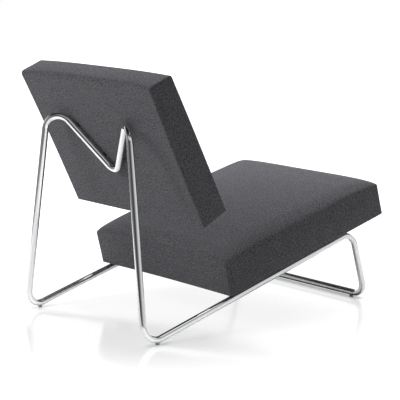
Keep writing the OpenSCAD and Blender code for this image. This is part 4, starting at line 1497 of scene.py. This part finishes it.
@dataclass
class CarriedParts:
    """Solid parts whose shape is right: each gets the finish of its slot."""

    replaced: tuple[str, ...] = ("rear_hoop", "front_hoop", "seat_cover", "seat_dust_cover", "back_cover",
                                 "back_gusset_left", "back_gusset_right")

    def build(self) -> None:
        """Puts each part's finish on its object."""
        slots = {part["node"]: Slot(part["material_slot"]) for part in frame["record"]["subparts"]}
        for name, part in frame["nodes"].items():
            if name in self.replaced:
                continue
            material = FINISHES[slots[name]].material()
            if part.material_slots:
                for holder in part.material_slots:
                    holder.link = "OBJECT"
                    holder.material = material
            else:
                part.data.materials.append(material)
            LOG.info("%s: %s", name, material.name)


# Studio


@dataclass
class Room:
    """The studio that the chrome mirrors, as a function of direction, with levels as shares of white.

    Its walls brighten from a dark middle behind the camera towards the right and have a grey flat low on the
    left; a window stands above the camera, a soft box hangs high on the right, the upper walls darken, and
    the white backdrop fills the low directions beyond the chair. A span gives where a soft edge begins and
    ends, as the share of the direction that points up, to the right or behind the camera.
    """

    walls: Span = (0.07, 0.85)
    walls_right: Span = (-0.2, 1.2)
    upper_dim: float = 0.8
    upper_up: Span = (0.55, 0.70)
    flat: float = 0.28
    flat_right: Span = (-0.98, -0.72)
    flat_up: Span = (0.28, 0.50)
    window: float = 0.46
    window_behind: Span = (0.3, 0.7)
    window_foot: Span = (0.28, 0.46)
    window_head: Span = (0.62, 0.78)
    box: float = 1.0
    box_up: Span = (0.78, 0.88)
    box_right: Span = (0.0, 0.2)
    backdrop_behind: Span = (-0.8, -0.3)
    backdrop_up: Span = (0.25, 0.52)

    def level(self, right: Value, behind: Value, up: Value) -> Value:
        """Brightness of the room in a direction, by its shares to the right, behind the camera and up."""
        dark, bright = self.walls
        walls = dark + right.eased(*self.walls_right) * (bright - dark)
        walls = walls * (1.0 - up.eased(*self.upper_up) * self.upper_dim)
        flat = (1.0 - right.eased(*self.flat_right)) * (1.0 - up.eased(*self.flat_up)) * self.flat
        window = behind.eased(*self.window_behind) * up.eased(*self.window_foot)
        window = window * (1.0 - up.eased(*self.window_head)) * self.window
        box = up.eased(*self.box_up) * right.eased(*self.box_right) * self.box
        backdrop = (1.0 - behind.eased(*self.backdrop_behind)) * (1.0 - up.eased(*self.backdrop_up))
        return (walls + flat + window + box) * (1.0 - backdrop) + backdrop


@dataclass
class Studio:
    """White floor, world, soft lamps and the camera at the photograph's angle, in metres and degrees."""

    azimuth: float = 229.2
    elevation: float = 10.1
    roll: float = 0.3
    look: Point = (0.0, 0.0161, 0.3228)
    distance: float = 4.7293
    lens: float = 140.76
    floor_half: float = 14.0
    floor_z: float = -0.0004
    ambient: float = 0.03
    aim: Point = (0.0, 0.0, 0.35)
    lamps: tuple[tuple[str, Point, float, float], ...] = (
        ("key_lamp", (1.2, 3.6, 2.6), 2.2, 124.0),
        ("top_lamp", (0.0, -0.9, 3.0), 2.4, 40.0),
        ("far_lamp", (0.8, -2.6, 2.6), 2.0, 160.0),
        ("side_lamp", (-2.6, -3.0, 1.3), 1.6, 9.0))

    def floor(self) -> None:
        """A square of floor just under the glides."""
        line = np.linspace(-self.floor_half, self.floor_half, 9)
        piece = grid_piece("studio_floor", [stacked(line, line[:, None], self.floor_z)])
        face_towards(piece, np.array(UP))
        piece.data.materials.append(StudioFloor("studio_white").material())

    def world(self) -> None:
        """Plain light for the chair, white where the camera looks past it, and the room for the chrome."""
        world = bpy.data.worlds.new("studio")
        bpy.context.scene.world = world
        world.use_nodes = True
        nodes = Nodes(world.node_tree)
        seen, mirrored, through = nodes.rays("Camera", "Glossy", "Transmission")
        x, y, up = nodes.parts(nodes.add("ShaderNodeTexCoord").outputs["Generated"])
        c, s = cos_sin(self.azimuth)
        levels = (self.ambient, Room().level(x * c + y * s, x * s - y * c, up), 1.0)
        light, room, white = (nodes.add("ShaderNodeBackground", {"Color": WHITE, "Strength": level})
                              for level in levels)
        glossy = nodes.mixed(mirrored, light, room)
        nodes.deliver(nodes.mixed(seen.at_least(through), glossy, white), "ShaderNodeOutputWorld")

    def place(self, name: str, data: Any, at: Array, back: Array, roll: float = 0.0) -> bpy.types.Object:
        """Puts a lamp or a camera in the scene, looking along -back with its top upwards.

        Args:
            name: the object's name.
            data: the lamp or the camera.
            at: where it stands.
            back: unit direction away from what it looks at.
            roll: its roll in degrees.

        Returns:
            The object.
        """
        right = unit(np.cross(-back, UP))
        up = np.cross(right, -back)
        c, s = cos_sin(roll)
        matrix = np.eye(4)
        matrix[:3] = np.stack([c * right + s * up, -s * right + c * up, back, at], 1)
        holder = bpy.data.objects.new(name, data)
        holder.matrix_world = Matrix(matrix.tolist())
        bpy.context.scene.collection.objects.link(holder)
        return holder

    def lamp(self, name: str, at: Point, size: float, watts: float) -> None:
        """A square soft lamp aimed at the chair, and kept out of the chrome, which mirrors the room."""
        light = bpy.data.lights.new(name, "AREA")
        light.shape, light.size, light.energy = "SQUARE", size, watts
        holder = self.place(name, light, np.array(at), unit(np.array(at) - np.array(self.aim)))
        holder.visible_glossy = False

    def camera(self) -> None:
        """The photograph's camera."""
        (ca, sa), (ce, se) = cos_sin(self.azimuth), cos_sin(self.elevation)
        back = np.array([sa * ce, -ca * ce, se])
        data = bpy.data.cameras.new("camera")
        data.lens, data.sensor_width, data.clip_end = self.lens, 36.0, 60.0
        at = np.array(self.look) + back * self.distance
        bpy.context.scene.camera = self.place("camera", data, at, back, self.roll)

    def build(self) -> None:
        """Sets the whole studio up."""
        bpy.context.scene.view_settings.view_transform = "Standard"
        self.floor()
        self.world()
        for name, at, size, watts in self.lamps:
            self.lamp(name, at, size, watts)
        self.camera()
        LOG.info("studio: floor, world, %d lamps and the camera", len(self.lamps))


def main() -> None:
    """Builds the chair and its studio in order."""
    logging.basicConfig(level=logging.INFO, format="%(message)s")
    for part in (TubeFrame(), SeatCushion(), BackCushion(), CarriedParts(), Studio()):
        part.build()


if __name__ == "__main__":
    main()
